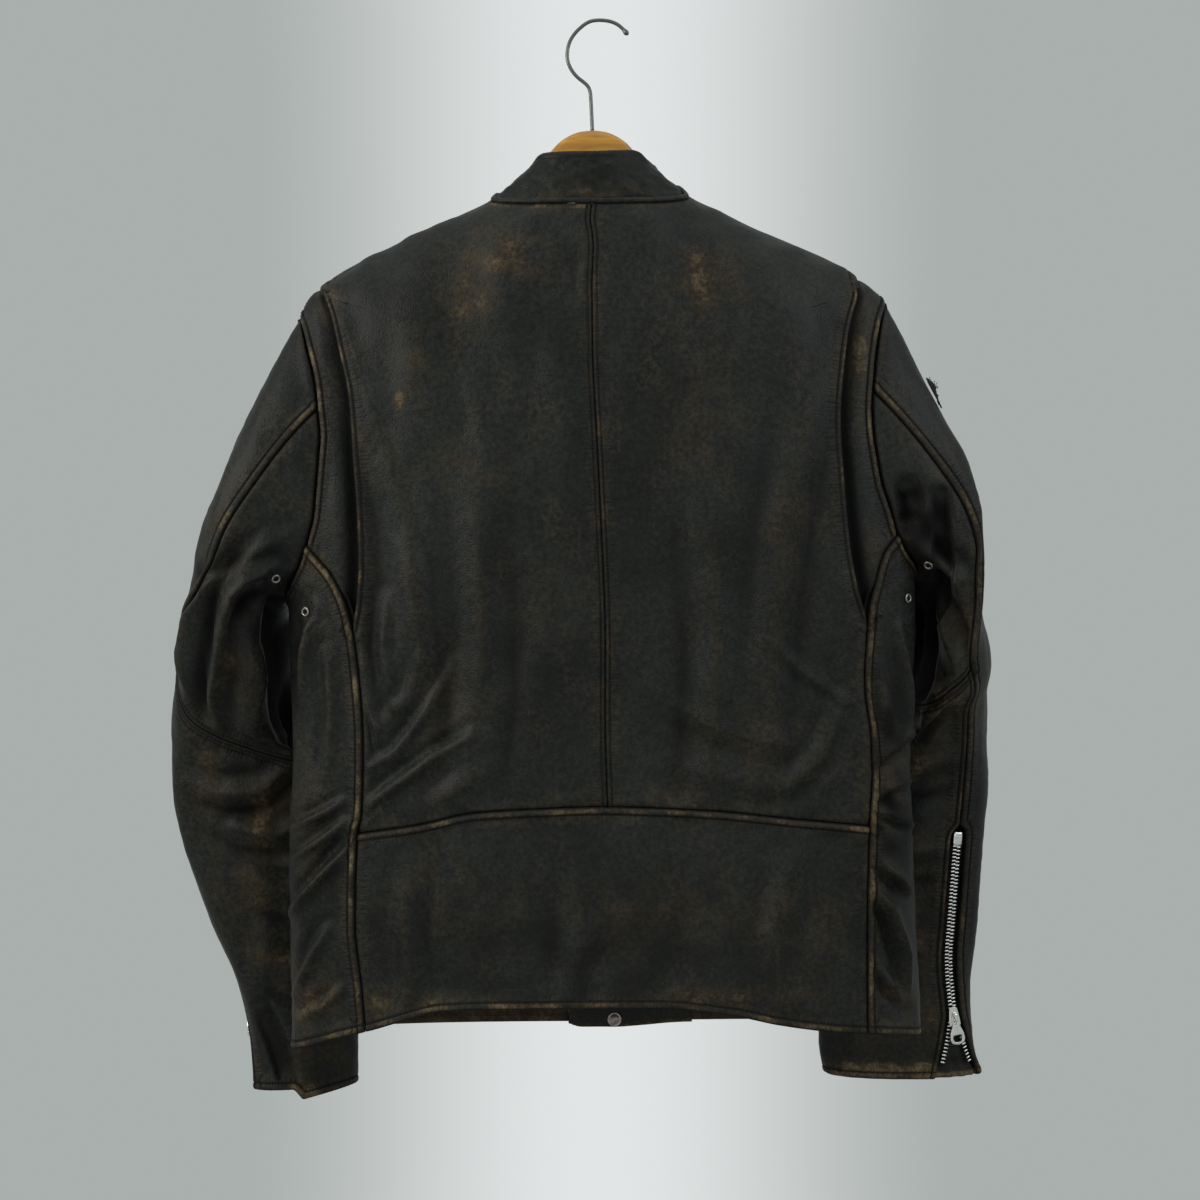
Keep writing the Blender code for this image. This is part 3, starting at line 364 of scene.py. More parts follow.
def outward(form, first, second):
    """Unit normals of a form, away from its middle, by small steps along it."""
    point, middle = form
    step = 0.02
    one = point(first + step, second) - point(first - step, second)
    other = point(first, second + step) - point(first, second - step)
    out = unit(np.cross(one, other))
    away = np.sum(out * (point(first, second) - middle(first, second)), -1, keepdims=True)
    return out * np.sign(away)


# ---- cutting pieces finely ----

def run_of(points):
    """Distance along a line of points, from its start."""
    return np.concatenate([[0], np.cumsum(np.linalg.norm(np.diff(points, axis=0), axis=-1))])


def shares(edges, point, coarse):
    """Even numbers of steps from 0 to 1, fine at both ends, for edges of about one length."""
    longest = max(run_of(point(*edge.T))[-1] for edge in edges)
    at = np.linspace(0, longest, 800)
    inward = np.minimum(at, longest - at)
    step = FINE + (coarse - FINE) * ease((inward - SEAM_BAND) / (1.5 * SEAM_BAND))
    count = np.concatenate([[0], np.cumsum(np.diff(at) / ((step[1:] + step[:-1]) / 2))])
    whole = 2 * max(2, int(round(count[-1] / 2)))
    return np.interp(np.linspace(0, count[-1], whole + 1), count, at / longest)


def placed(parts, point, at):
    """Points at shares of an edge's length, one of them on each corner between its parts."""
    path = join(*parts)
    run = run_of(point(*path.T))
    corners = np.cumsum([len(part) - 1 for part in parts])[:-1]
    at = at.copy()
    for corner in corners:
        share = run[corner] / run[-1]
        at[np.argmin(abs(at - share))] = share
    return np.stack([np.interp(at * run[-1], run, path[:, k]) for k in (0, 1)], -1), at


def cut(point, top, low, first, last, coarse=COARSE, fade=1.0):
    """A fine grid between four edges, each a list of parts, with each edge's part corners."""
    across = shares([join(*top), join(*low)], point, coarse)
    downward = shares([join(*first), join(*last)], point, coarse)
    (top_line, top_at), (low_line, low_at) = (placed(edge, point, across) for edge in (top, low))
    (first_line, first_at), (last_line, last_at) = (placed(edge, point, downward) for edge in (first, last))
    u = ((top_at + low_at) / 2)[None, :, None]
    v = ((first_at + last_at) / 2)[:, None, None]
    sides = first_line[:, None] * (1 - u) + last_line[:, None] * u
    top_bend = top_line[None] - top_line[0] * (1 - u) - top_line[-1] * u
    low_bend = low_line[None] - low_line[0] * (1 - u) - low_line[-1] * u
    grid = sides + top_bend * (1 - v) ** fade + low_bend * v ** fade
    corners = {}
    for name, parts, at in (("top", top, top_at), ("low", low, low_at), ("first", first, first_at),
                            ("last", last, last_at)):
        run = run_of(point(*join(*parts).T))
        ends = np.cumsum([len(part) - 1 for part in parts])
        corners[name] = [int(np.argmin(abs(at - run[end] / run[-1]))) for end in ends]
    return grid, corners


def to_edge(places, line):
    """How far points lie from a line of points, and how far along it the nearest place is."""
    run = run_of(line)
    at = np.linspace(0, run[-1], max(8, int(run[-1] / 0.8)))
    dense = np.stack([np.interp(at, run, line[:, k]) for k in range(3)], -1)
    away, along_it = np.empty(places.shape[:2]), np.empty(places.shape[:2])
    for i, row in enumerate(places):
        apart = np.sum(row ** 2, 1)[:, None] + np.sum(dense ** 2, 1)[None] - 2 * row @ dense.T
        nearest = np.argmin(apart, 1)
        away[i] = np.sqrt(np.maximum(apart[np.arange(len(row)), nearest], 0))
        along_it[i] = at[nearest]
    return away, along_it


def edge_lines(places):
    return {"top": places[0], "low": places[-1], "first": places[:, 0], "last": places[:, -1]}


def from_edges(places):
    """How far each point of a grid lies from each of the grid's four edges."""
    return {name: to_edge(places, line)[0] for name, line in edge_lines(places).items()}


# ---- how a seam or an edge is made ----

# Each finish: how rubbed it is, how puckered, where its stitches run, and its height across it.
SEAMS = {
    finish: (table("at lift", *rows), rubbed_share, puckered, stitched_at)
    for finish, rubbed_share, puckered, stitched_at, *rows in (
        ("raised", 0.8, 0.7, (5.9,), (0, -1.7), (0.5, -0.2), (1.5, 1.25), (3.2, 1.7), (5.0, 1.4),
         (5.9, -0.2), (6.8, 0.7), (8.5, 0.4), (12, 0)),
        ("tucked", 0.25, 0.25, (), (0, -2.0), (0.8, -1.1), (2.5, -0.35), (5, 0)),
        ("double", 0.45, 0.5, (3.6,), (0, -1.5), (0.7, -0.5), (1.7, 0.25), (3.0, 0.15), (3.6, -0.45),
         (4.4, 0.1), (6.5, 0.12), (9, 0)),
        ("lapped", 0.3, 0.7, (3.2, 6.6), (0, -1.5), (0.6, -0.3), (1.6, 0.4), (2.6, 0.4), (3.2, -0.2),
         (4.2, 0.35), (5.8, 0.35), (6.6, -0.2), (7.6, 0.2), (11, 0)),
        ("backed", 0.5, 0.8, (5.9,), (0, -1.7), (0.5, -0.2), (1.5, 1.1), (3.2, 1.5), (5.0, 1.2),
         (5.9, -0.3), (6.8, 0.6), (8.5, 0.4), (12, 0)),
        ("pleat", 0.8, 1.0, (3.9,), (0, -0.5), (0.7, 0.35), (1.7, 0.75), (3.0, 0.45), (3.9, -0.6),
         (4.8, 0.1), (7.5, 0.25), (12, 0)),
        ("hem", 0.85, 0.9, (5.9,), (0, -0.9), (0.8, 0.15), (2.2, 0.75), (4.5, 0.7), (5.9, -0.3),
         (7.0, 0.35), (9, 0.25), (14, 0)),
        ("necked", 0.5, 0.3, (), (0, -0.5), (1.5, -0.1), (4, 0), (10, 0)),
        ("plain", 0.0, 0.0, (), (0, 0), (10, 0)))}


def seam_lift(finish, away):
    """How high a finish lifts the leather at distances from its edge."""
    return along(SEAMS[finish][0], "lift", np.minimum(away, SEAM_REACH))


def waves(places, length, seed, count=14):
    """A smooth random height, about 1 high, whose swells are about one length long."""
    chance = np.random.default_rng(seed)
    ways = unit(chance.normal(size=(count, 3))) * (2 * np.pi / length)
    ways = ways * chance.uniform(0.6, 1.5, (count, 1))
    phase = chance.uniform(0, 2 * np.pi, count)
    total = np.zeros(places.shape[:-1])
    for way, start in zip(ways, phase):
        total += np.cos(places @ way + start)
    return total / math.sqrt(count)


def edge_finish(places, corners, styles, seed):
    """What a grid's seams and edges give it: height, wear, dark lines of painted shade, pucker and stitch
    rows.
    """
    lift, wear, dark, pucker, run = (np.zeros(places.shape[:2]) for _ in range(5))
    rows, distance = [], {}
    patchy = np.clip(0.62 + 0.5 * waves(places, 30, seed + 11), 0.12, 1.2)
    lines = edge_lines(places)
    for name, finishes in styles.items():
        ends = [0] + corners[name]
        distance[name] = np.full(places.shape[:2], 1e9)
        for start, end, finish in zip(ends, ends[1:], finishes):
            rubbed_share, puckered, offsets = SEAMS[finish][1:]
            away, edge_run = to_edge(places, lines[name][start:end + 1])
            distance[name] = np.minimum(distance[name], away)
            lift += seam_lift(finish, away) * (away < SEAM_REACH)
            middle, half = (1.3, 1.4) if finish == "pleat" else (2.9, 2.5)
            crest = np.exp(-((away - middle) / half) ** 4) + 0.3 * np.exp(-((away - 8) / 6) ** 2)
            wear = np.maximum(wear, rubbed_share * crest * patchy)
            # Painted shade: a dark line along the seam's edge and along each stitch row, where shade falls
            # in the crevice and the stitch groove.
            shade_paint = 0.95 * np.exp(-(away / 1.2) ** 2) * (finish != "plain")
            for offset in offsets:
                shade_paint = shade_paint + 0.95 * np.exp(-((away - offset) / 1.1) ** 2)
                rows.append((name, start, end, offset))
            dark = np.maximum(dark, shade_paint)
            crimp = np.exp(-((away - 8.0) / 3.2) ** 2) + 0.35 * np.exp(-((away - 3) / 2) ** 2)
            crimp = puckered * crimp
            run = np.where(crimp > pucker, edge_run * MM, run)
            pucker = np.maximum(pucker, crimp)
    return distance, lift, wear, dark, pucker, run, rows


def stitch_line(places, distance, name, start, end, offset):
    """Points on a grid that run at an offset inside one of its edges."""
    if name in ("top", "low"):
        places, away = places.transpose(1, 0, 2), distance[name].T
    else:
        places, away = places, distance[name]
    if name in ("last", "low"):
        places, away = places[:, ::-1], away[:, ::-1]
    found = []
    for i in range(start, end + 1):
        if away[i, -1] > offset:
            k = int(np.searchsorted(away[i], offset))
            share = (offset - away[i, k - 1]) / max(away[i, k] - away[i, k - 1], 1e-6)
            found.append(places[i, k - 1] * (1 - share) + places[i, k] * share)
    return np.array(found)


# ---- folds, dents and rubbed patches ----

# Each fold: width, height (below 0 it is a crease, below -5 a deep hollow), and where it runs (x, z).
FOLDS = {
    "body": {
        "back": (
            (15, 2.2, (-190, -300), (-150, -420), (-140, -560)),
            (11, -1.8, (-172, -330), (-134, -450), (-122, -590)),
            (13, 1.8, (-96, -390), (-92, -520), (-108, -640)),
            (12, -1.6, (-70, -420), (-66, -560), (-78, -650)),
            (14, 2.0, (170, -310), (146, -430), (136, -590)),
            (10, -1.8, (188, -330), (162, -470), (152, -620)),
            (12, 1.6, (84, -380), (96, -500), (90, -640)),
            (10, -1.3, (58, -420), (68, -540), (62, -650)),
            (4.5, 2.0, (-116, -526), (-136, -565), (-162, -599), (-190, -616)),
            (6, 1.2, (-136, -512), (-152, -556), (-178, -582)),
            (5, 2.3, (-98, -584), (-130, -602), (-160, -624), (-192, -648)),
            (8, 0.8, (-84, -612), (-118, -630), (-150, -650)),
            (6, 2.4, (-170, -474), (-172, -516), (-164, -560)),
            (3, 1.6, (-186, -560), (-178, -580), (-176, -600)),
            (9, 0.8, (40, -548), (100, -582), (164, -596)),
            (10, 0.7, (60, -606), (130, -626), (198, -616)),
            (5, 0.9, (132, -506), (172, -540), (204, -560)),
            (8, 1.8, (196, -560), (180, -600), (150, -630)),
            (6, -1.6, (202, -574), (184, -612), (156, -640)),
            (9, 2.0, (-150, -690), (-156, -740), (-150, -790)),
            (7, -1.6, (-132, -690), (-138, -750), (-130, -800)),
            (10, 1.6, (-20, -680), (-14, -740), (-20, -800)),
            (9, -1.4, (70, -690), (64, -750), (72, -800)),
            (9, 1.8, (150, -690), (140, -745), (150, -795)),
            (6, 2.6, (-230, -484), (-237, -520), (-240, -560)),
            (5, 1.8, (-218, -520), (-214, -570), (-220, -620)),
            (4, 2.2, (-206, -640), (-226, -652), (-250, -664)),
            (4, 2.2, (-204, -656), (-224, -672), (-250, -690)),
            (5, 3.2, (-198, -674), (-220, -698), (-250, -734)),
            (5, 2.4, (-218, -744), (-232, -770), (-246, -800)),
            (4, 2.0, (-206, -790), (-222, -806), (-240, -816)),
            (5, 2.4, (244, -500), (252, -550), (252, -596)),
            (4, 3.2, (224, -610), (238, -598), (254, -586)),
            (3, 2.8, (222, -638), (236, -630), (254, -626)),
            (3, 3.0, (228, -648), (240, -652), (256, -662)),
            (5, 3.6, (222, -710), (236, -728), (250, -766), (254, -800)),
            (4, 3.0, (228, -690), (240, -700), (256, -716)),
            (4, 2.6, (226, -770), (238, -790), (250, -806)),
            (5, 1.8, (228, -530), (232, -566), (228, -600))),
        "front": (
            (15, 2.4, (-180, -290), (-120, -400), (-96, -560)),
            (12, -2.0, (-150, -300), (-100, -420), (-78, -560)),
            (16, 2.4, (184, -290), (126, -410), (104, -580)),
            (11, -2.0, (160, -310), (108, -420), (84, -560)),
            (9, 2.0, (-210, -520), (-170, -560), (-110, -580)),
            (7, -1.9, (-206, -540), (-164, -578), (-110, -600)),
            (9, 2.0, (214, -500), (176, -548), (116, -572)),
            (7, -1.9, (212, -520), (172, -566), (120, -590)),
            (12, 2.0, (-160, -640), (-150, -720), (-160, -800)),
            (10, -1.8, (-120, -650), (-112, -730), (-122, -800)),
            (12, 1.9, (150, -650), (144, -730), (152, -800)),
            (10, -1.7, (110, -660), (104, -730), (112, -800)),
            (8, 1.8, (-40, -300), (-30, -420), (-38, -520)),
            (8, 1.7, (44, -310), (34, -430), (40, -540)))},
    "left": {
        "back": (
            (12, -14, (-258, -488), (-264, -512), (-264, -548), (-256, -590)),
            (10, -13, (-249, -482), (-250, -520), (-248, -560), (-244, -610)),
            (7, -4.6, (-262, -474), (-284, -480), (-296, -494), (-298, -520)),
            (11, 3.4, (-280, -510), (-280, -545), (-286, -585)),
            (7, 4.5, (-262, -454), (-284, -460), (-298, -474), (-304, -500), (-306, -530)),
            (8, 2.4, (-262, -430), (-290, -452), (-320, -468), (-338, -492)),
            (6, -2.0, (-276, -432), (-300, -452), (-324, -458)),
            (8, 2.6, (-296, -486), (-306, -520), (-318, -560), (-316, -590)),
            (9, -2.2, (-322, -500), (-330, -540), (-332, -580)),
            (7, 2.2, (-330, -480), (-344, -520), (-342, -560)),
            (8, 2.2, (-252, -610), (-280, -636), (-318, -640), (-340, -632)),
            (6, -2.4, (-246, -624), (-276, -652), (-312, -658), (-336, -650)),
            (7, 2.2, (-244, -664), (-272, -676), (-306, -670)),
            (6, -1.9, (-240, -684), (-270, -694), (-304, -690), (-326, -678)),
            (7, 1.8, (-240, -720), (-266, -724), (-296, -712)),
            (6, -1.6, (-236, -744), (-262, -752), (-290, -742)),
            (9, -6.0, (-287, -826), (-274, -856), (-263, -886)),
            (8, 1.8, (-228, -776), (-256, -790), (-288, -780)),
            (7, -1.5, (-234, -812), (-262, -820), (-284, -812))),
        "front": (
            (10, 2.6, (-262, -400), (-290, -440), (-318, -470)),
            (8, -2.6, (-256, -430), (-280, -470), (-310, -500)),
            (9, 2.4, (-240, -520), (-270, -545), (-320, -550)),
            (7, -2.6, (-234, -544), (-270, -568), (-322, -572)),
            (9, 2.6, (-226, -590), (-268, -606), (-330, -596)),
            (7, -2.4, (-222, -620), (-266, -636), (-326, -628)),
            (8, 2.0, (-216, -670), (-256, -684), (-318, -676)),
            (7, -1.8, (-216, -710), (-260, -722), (-310, -712)),
            (8, 1.7, (-220, -770), (-256, -780), (-296, -772)))},
    "right": {
        "back": (
            (10, -9, (250, -388), (253, -402), (252, -416)),
            (8, -9, (276, -394), (278, -424), (281, -452), (274, -492)),
            (13, -13, (258, -480), (263, -505), (262, -540), (254, -580)),
            (11, -11, (249, -474), (250, -520), (246, -600)),
            (7, 3.4, (258, -430), (274, -446), (292, -462), (300, -490)),
            (7, 2.4, (252, -400), (276, -424), (300, -440)),
            (6, -2.0, (262, -412), (286, -432), (304, -452)),
            (6, 2.4, (274, -476), (284, -500), (290, -530)),
            (6, -2.2, (286, -470), (298, -500), (302, -530)),
            (7, 2.2, (262, -580), (280, -560), (300, -546)),
            (6, -2.2, (258, -604), (278, -586), (300, -572)),
            (7, 2.2, (244, -640), (266, -620), (296, -610)),
            (6, -2.0, (240, -660), (266, -646), (298, -640)),
            (7, 1.8, (238, -700), (262, -690), (292, -688)),
            (6, -1.6, (240, -726), (262, -718), (286, -716)),
            (7, 1.6, (226, -770), (246, -778), (268, -772))),
        "front": (
            (10, 2.6, (262, -390), (288, -430), (308, -470)),
            (8, -2.6, (256, -420), (280, -462), (304, -500)),
            (9, 2.4, (240, -512), (270, -536), (316, -540)),
            (7, -2.6, (236, -536), (270, -560), (318, -566)),
            (9, 2.6, (226, -584), (268, -600), (322, -590)),
            (7, -2.4, (222, -616), (262, -630), (320, -620)),
            (8, 2.0, (212, -670), (256, -684), (316, -672)),
            (7, -1.8, (210, -714), (256, -724), (310, -716)),
            (8, 1.7, (208, -772), (250, -782), (312, -776)))}}
# Each rubbed patch: x, z, half width, half height and strength.
RUBBED = {
    "body": {
        "back": (
            (-78, -200, 34, 22, 0.5), (-102, -236, 26, 34, 0.34), (-159, -316, 4, 14, 0.75),
            (88, -220, 30, 30, 0.42), (84, -330, 34, 60, 0.2), (-104, -372, 40, 22, 0.24),
            (-144, -290, 16, 30, 0.25), (150, -420, 24, 50, 0.2), (-30, -480, 60, 50, 0.12),
            (-120, -560, 30, 40, 0.2), (120, -590, 40, 30, 0.22), (30, -640, 90, 16, 0.2),
            (-232, -360, 10, 40, 0.4), (212, -270, 12, 30, 0.45), (-216, -240, 12, 26, 0.4),
            (222, -440, 9, 26, 0.35), (-228, -440, 10, 20, 0.5), (60, -726, 80, 30, 0.25),
            (160, -740, 40, 40, 0.25), (-120, -716, 60, 30, 0.2), (-150, -800, 60, 12, 0.35),
            (110, -795, 80, 10, 0.35), (-230, -800, 26, 26, 0.45), (236, -810, 22, 26, 0.4),
            (-236, -650, 18, 60, 0.25), (232, -640, 20, 60, 0.25)),
        "front": (
            (-90, -300, 60, 40, 0.3), (96, -320, 50, 60, 0.3), (-60, -520, 40, 80, 0.25),
            (70, -560, 40, 80, 0.25), (-140, -780, 80, 30, 0.4), (140, -790, 80, 26, 0.4))},
    "left": {
        "back": (
            (-272, -663, 40, 36, 0.42), (-300, -640, 60, 22, 0.25), (-330, -620, 22, 60, 0.25),
            (-250, -590, 20, 24, 0.45), (-300, -720, 40, 60, 0.26), (-246, -905, 60, 12, 1.0),
            (-244, -870, 50, 24, 0.22), (-300, -540, 14, 40, 0.3), (-310, -400, 40, 60, 0.15),
            (-268, -780, 30, 30, 0.4)),
        "front": (
            (-280, -560, 50, 60, 0.3), (-270, -700, 60, 60, 0.3), (-260, -850, 50, 36, 0.55))},
    "right": {
        "back": (
            (290, -560, 30, 24, 0.5), (300, -500, 20, 40, 0.3), (256, -700, 26, 60, 0.3),
            (262, -600, 30, 40, 0.35), (236, -850, 40, 24, 0.28), (290, -830, 40, 26, 0.25),
            (262, -881, 85, 8, 1.0), (300, -330, 30, 60, 0.15), (266, -770, 14, 60, 0.5)),
        "front": (
            (280, -560, 50, 60, 0.3), (270, -700, 60, 60, 0.3), (260, -850, 50, 36, 0.55))}}
# Patches of painted shade, deep in folds and low down, that darken the leather towards black.
SHADED = {
    "body": {
        "back": (
            (0, -760, 230, 60, 0.32), (236, -620, 16, 110, 0.55), (-246, -520, 8, 60, 0.5))},
    "left": {
        "back": (
            (-252, -530, 13, 60, 1.0), (-262, -500, 12, 20, 1.0))},
    "right": {
        "back": (
            (260, -410, 16, 24, 1.0), (276, -402, 10, 16, 0.8), (260, -480, 15, 60, 1.0),
            (250, -580, 12, 70, 1.0))}}


def to_line(x, z, line):
    """How far points lie from a line through a few places, how far along it, and on which side."""
    line = np.array(line, float)
    nearest, share, turned = np.full(x.shape, 1e9), np.zeros(x.shape), np.zeros(x.shape)
    for k in range(len(line) - 1):
        start, way = line[k], line[k + 1] - line[k]
        t = np.clip(((x - start[0]) * way[0] + (z - start[1]) * way[1]) / (way @ way), 0, 1)
        away = np.hypot(x - start[0] - way[0] * t, z - start[1] - way[1] * t)
        closer = away < nearest
        nearest, share = np.where(closer, away, nearest), np.where(closer, (k + t) / (len(line) - 1), share)
        turned = np.where(closer, np.sign((x - start[0]) * way[1] - (z - start[1]) * way[0]), turned)
    return nearest, share, turned


def by_face(groups):
    """Each row of a table that is grouped by face, with its face in front."""
    return [(face, *row) for face, rows in groups.items() for row in rows]


def facing(out, face):
    """From 0 to 1, how far a surface faces back or front."""
    way = -out[..., 1] if face == "back" else out[..., 1]
    return ease((way + 0.05) / 0.45)


def folded(places, out, folds):
    """Height that the folds and creases give a surface, and how rubbed their crests are, which also paints
    a highlight along them.
    """
    lift, wear = np.zeros(places.shape[:-1]), np.zeros(places.shape[:-1])
    for face, width, height, *line in by_face(folds):
        away, share, turned = to_line(places[..., 0], places[..., 2], line)
        near = (away < width * 3) & (facing(out, face) > 0)
        if not near.any():
            continue
        fade = np.sin(np.pi * (0.12 + 0.76 * share)) ** 1.2 * facing(out, face)
        if abs(height) > 5:
            shape = ease((1.3 - away / width) / 0.6)
            fade = facing(out, face) * ease((share + 0.15) / 0.3) * ease((1.15 - share) / 0.35)
        else:
            trough = np.exp(-((away * turned - 1.7 * width) / (0.8 * width)) ** 2) if height > 0 else 0
            sharp = (0.4 if face == "back" else 0.0) * np.exp(-away / (0.5 * width))
            shape = 3.1 * (0.6 * np.exp(-(away / width) ** 2) + sharp - 0.55 * trough)
        lift += np.where(near, height * shape * fade, 0)
        # Fold crests are lightened: partly real rubbing, partly a painted highlight along the crest.
        if 0 < height:
            wear = np.maximum(wear, np.where(near, 0.26 * np.exp(-(away / (0.5 * width)) ** 2) * fade, 0))
    return lift, wear


def patch_wear_and_shade(places, out, patches, seed):
    """How strongly a surface is covered by its patches: rubbed wear for RUBBED and painted shade for
    SHADED.
    """
    wear = np.zeros(places.shape[:-1])
    for face, x, z, wide, high, strength in by_face(patches):
        away = ((places[..., 0] - x) / wide) ** 2 + ((places[..., 2] - z) / high) ** 2
        wear = np.maximum(wear, strength * np.exp(-away) * facing(out, face))
    return 1.5 * wear * np.clip(0.85 + 0.5 * waves(places, 30, seed), 0.2, 1.3)


# ---- making objects ----

def linked(name, data):
    """A new object in the scene that shows some data."""
    found = bpy.data.objects.new(name, data)
    bpy.context.collection.objects.link(found)
    return found


def mesh_object(name, points, faces, finish):
    """One object from points in millimetres, in its place in its mesh."""
    mesh = bpy.data.meshes.new(name)
    mesh.from_pydata((np.asarray(points, float) * MM).tolist(), [], faces)
    mesh.materials.append(finish)
    mesh.shade_smooth()
    return linked(name, mesh)


def outward_faces(piece, merge=None):
    """Turns a closed piece's faces to point out of it, once points that lie together are merged."""
    body = bmesh.new()
    body.from_mesh(piece.data)
    if merge:
        bmesh.ops.remove_doubles(body, verts=body.verts, dist=merge)
    bmesh.ops.recalc_face_normals(body, faces=body.faces)
    body.to_mesh(piece.data)
    body.free()
    return piece


def store(piece, **values):
    """Keeps a value at each of a piece's points, for its material to read."""
    for label, value in values.items():
        stored = piece.data.attributes.new(label, "FLOAT", "POINT")
        stored.data.foreach_set("value", np.asarray(value, np.float32).reshape(-1))


def put(piece, node_name=None, body="jacket"):
    """Fixes a piece to its body, and puts it in place of a CAD node."""
    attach(piece, body)
    if node_name:
        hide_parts(node_name)
    return piece


def quads(at):
    """Faces over a grid of point numbers."""
    corners = np.stack([at[:-1, :-1], at[:-1, 1:], at[1:, 1:], at[1:, :-1]], -1)
    return corners.reshape(-1, 4).tolist()


def wall(name, face, inner, finish, **values):
    """A closed wall: a fine face, and an inner side with every other row and column."""
    rows, columns = face.shape[:2]
    inner = inner[::2, ::2]
    at = np.arange(rows * columns).reshape(rows, columns)
    under = np.arange(inner.shape[0] * inner.shape[1]).reshape(inner.shape[:2]) + rows * columns
    faces = quads(at) + quads(under[:, ::-1])
    for fine, coarse in ((at[0], under[0]), (at[:, -1], under[:, -1]),
                         (at[-1, ::-1], under[-1, ::-1]), (at[::-1, 0], under[::-1, 0])):
        for k in range(len(coarse) - 1):
            a, b, c = fine[2 * k], fine[2 * k + 1], fine[2 * k + 2]
            faces.append([int(n) for n in (c, b, a, coarse[k], coarse[k + 1])])
    points = np.concatenate([face.reshape(-1, 3), inner.reshape(-1, 3)])
    piece = mesh_object(name, points, faces, finish)
    store(piece, **{label: np.concatenate([value.reshape(-1), value[::2, ::2].reshape(-1)])
                    for label, value in values.items()})
    return piece


def grid_normals(places, out):
    """Normals of a grid of points, on the same side as out."""
    found = np.cross(np.gradient(places, axis=1), np.gradient(places, axis=0))
    found = unit(found + 1e-9)
    return found * np.sign(np.sum(found * out, -1, keepdims=True))


def flat_size(places):
    """About how wide and long a grid of points is when it lies flat, and its area."""
    across = run_of(places[places.shape[0] // 2])[-1]
    longest = max(run_of(places[:, k])[-1] for k in (0, places.shape[1] // 2, places.shape[1] - 1))
    widest = max(across, run_of(places[0])[-1], run_of(places[-1])[-1])
    one = places[1:, 1:] - places[:-1, :-1]
    other = places[1:, :-1] - places[:-1, 1:]
    area = np.linalg.norm(np.cross(one, other), axis=-1).sum() / 2
    return widest * MM, longest * MM, area * MM * MM


def dress(piece, size):
    """Puts a sheet of leather on the jacket in place of the CAD node of its name."""
    put(piece, piece.name.removesuffix("_leather"))
    width, length, area = size
    min(area, width * length)


def clear_of_eyelets(places):
    """0 where an eyelet sits and 1 a little way off, so that the leather lies smooth under it."""
    free = np.ones(places.shape[:-1])
    for side, (on_body, on_sleeve) in EYELETS.items():
        for centre in (body_point(*on_body), sleeve_point(side, *on_sleeve)):
            free = free * (1 - np.exp(-(np.linalg.norm(places - centre, axis=-1) / 9) ** 4))
    return free


def leather_piece(name, form, grid, corners, styles, group, seed, lift=0.0, calm=1.0, shadow=0.0,
                  droop=0.0):
    """A cut piece of leather, with its seams, folds, wear and painted shade, in place of its CAD node."""
    out = outward(form, grid[..., 0], grid[..., 1])
    base = form[0](grid[..., 0], grid[..., 1]) + out * np.broadcast_to(lift, grid.shape[:2])[..., None]
    base[..., 2] -= droop
    distance, seams, wear, dark, pucker, run, rows = edge_finish(base, corners, styles, seed)
    creased, crest = folded(base, out, FOLDS[group])
    inward = np.min(list(distance.values()), 0)
    loose = ease((inward - 1) / 14)
    hung = base * (1, 1, 0.45)
    swell = calm * loose * (1.5 * waves(hung, 80, seed) + 0.75 * waves(hung, 32, seed + 1)
                            + 0.16 * waves(base, 12, seed + 2))
    folds_and_swell = (creased * calm * ease(inward / 10) + swell) * clear_of_eyelets(base)
    face = base + out * (seams + folds_and_swell)[..., None]
    normal = unit(grid_normals(face, out) + 0.5 * out)
    wear = np.maximum(wear, np.maximum(crest, patch_wear_and_shade(base, out, RUBBED[group], seed)))
    # Painted shade: darkening in crease troughs, along seam crevices, in the pleat's gap and in the SHADED
    # patches.
    hollow = np.maximum(np.maximum(np.clip(-creased / 9, 0, 1), dark), shadow)
    hollow = np.clip(np.maximum(hollow, patch_wear_and_shade(base, out, SHADED[group], seed + 5)), 0, 1)
    piece = wall(name, face, face - normal * LEATHER, LOOKS["leather"], wear=wear, hollow=hollow,
                 pucker=pucker, run=run)
    dress(piece, flat_size(base))
    STITCHES.append((name, [stitch_line(face, distance, *row) for row in rows]))
    return piece


# ---- materials ----

def srgb(text):
    """A colour from its hex name, in the linear values that shaders use."""
    parts = [int(text[k:k + 2], 16) / 255 for k in (0, 2, 4)]
    return [p / 12.92 if p <= 0.04045 else ((p + 0.055) / 1.055) ** 2.4 for p in parts] + [1.0]


def node(tree, kind, out=0, settings=None, **inputs):
    """Adds a node with its settings and inputs, and gives one of its outputs."""
    made = tree.nodes.new(kind if "Node" in kind else "ShaderNode" + kind)
    for name, value in (settings or {}).items():
        setattr(made, name, value)
    for name, value in inputs.items():
        socket = made.inputs[int(name[1:]) if name[1:].isdigit() else name.replace("_", " ")]
        if isinstance(value, bpy.types.NodeSocket):
            tree.links.new(value, socket)
        else:
            socket.default_value = value
    return made.outputs[out] if out is not None else made


COLOURS = {"data_type": "RGBA"}
TINT = {"data_type": "RGBA", "blend_type": "MULTIPLY"}
TIMES, PLUS = ({"operation": kind} for kind in ("MULTIPLY", "ADD"))


def new_skin(name, **inputs):
    """A material, its node tree and its shader, with the shader's plain values set."""
    skin = bpy.data.materials.new(name)
    skin.use_nodes = True
    shader = skin.node_tree.nodes["Principled BSDF"]
    for label, value in inputs.items():
        shader.inputs[label.replace("_", " ")].default_value = value
    return skin, skin.node_tree, shader.inputs


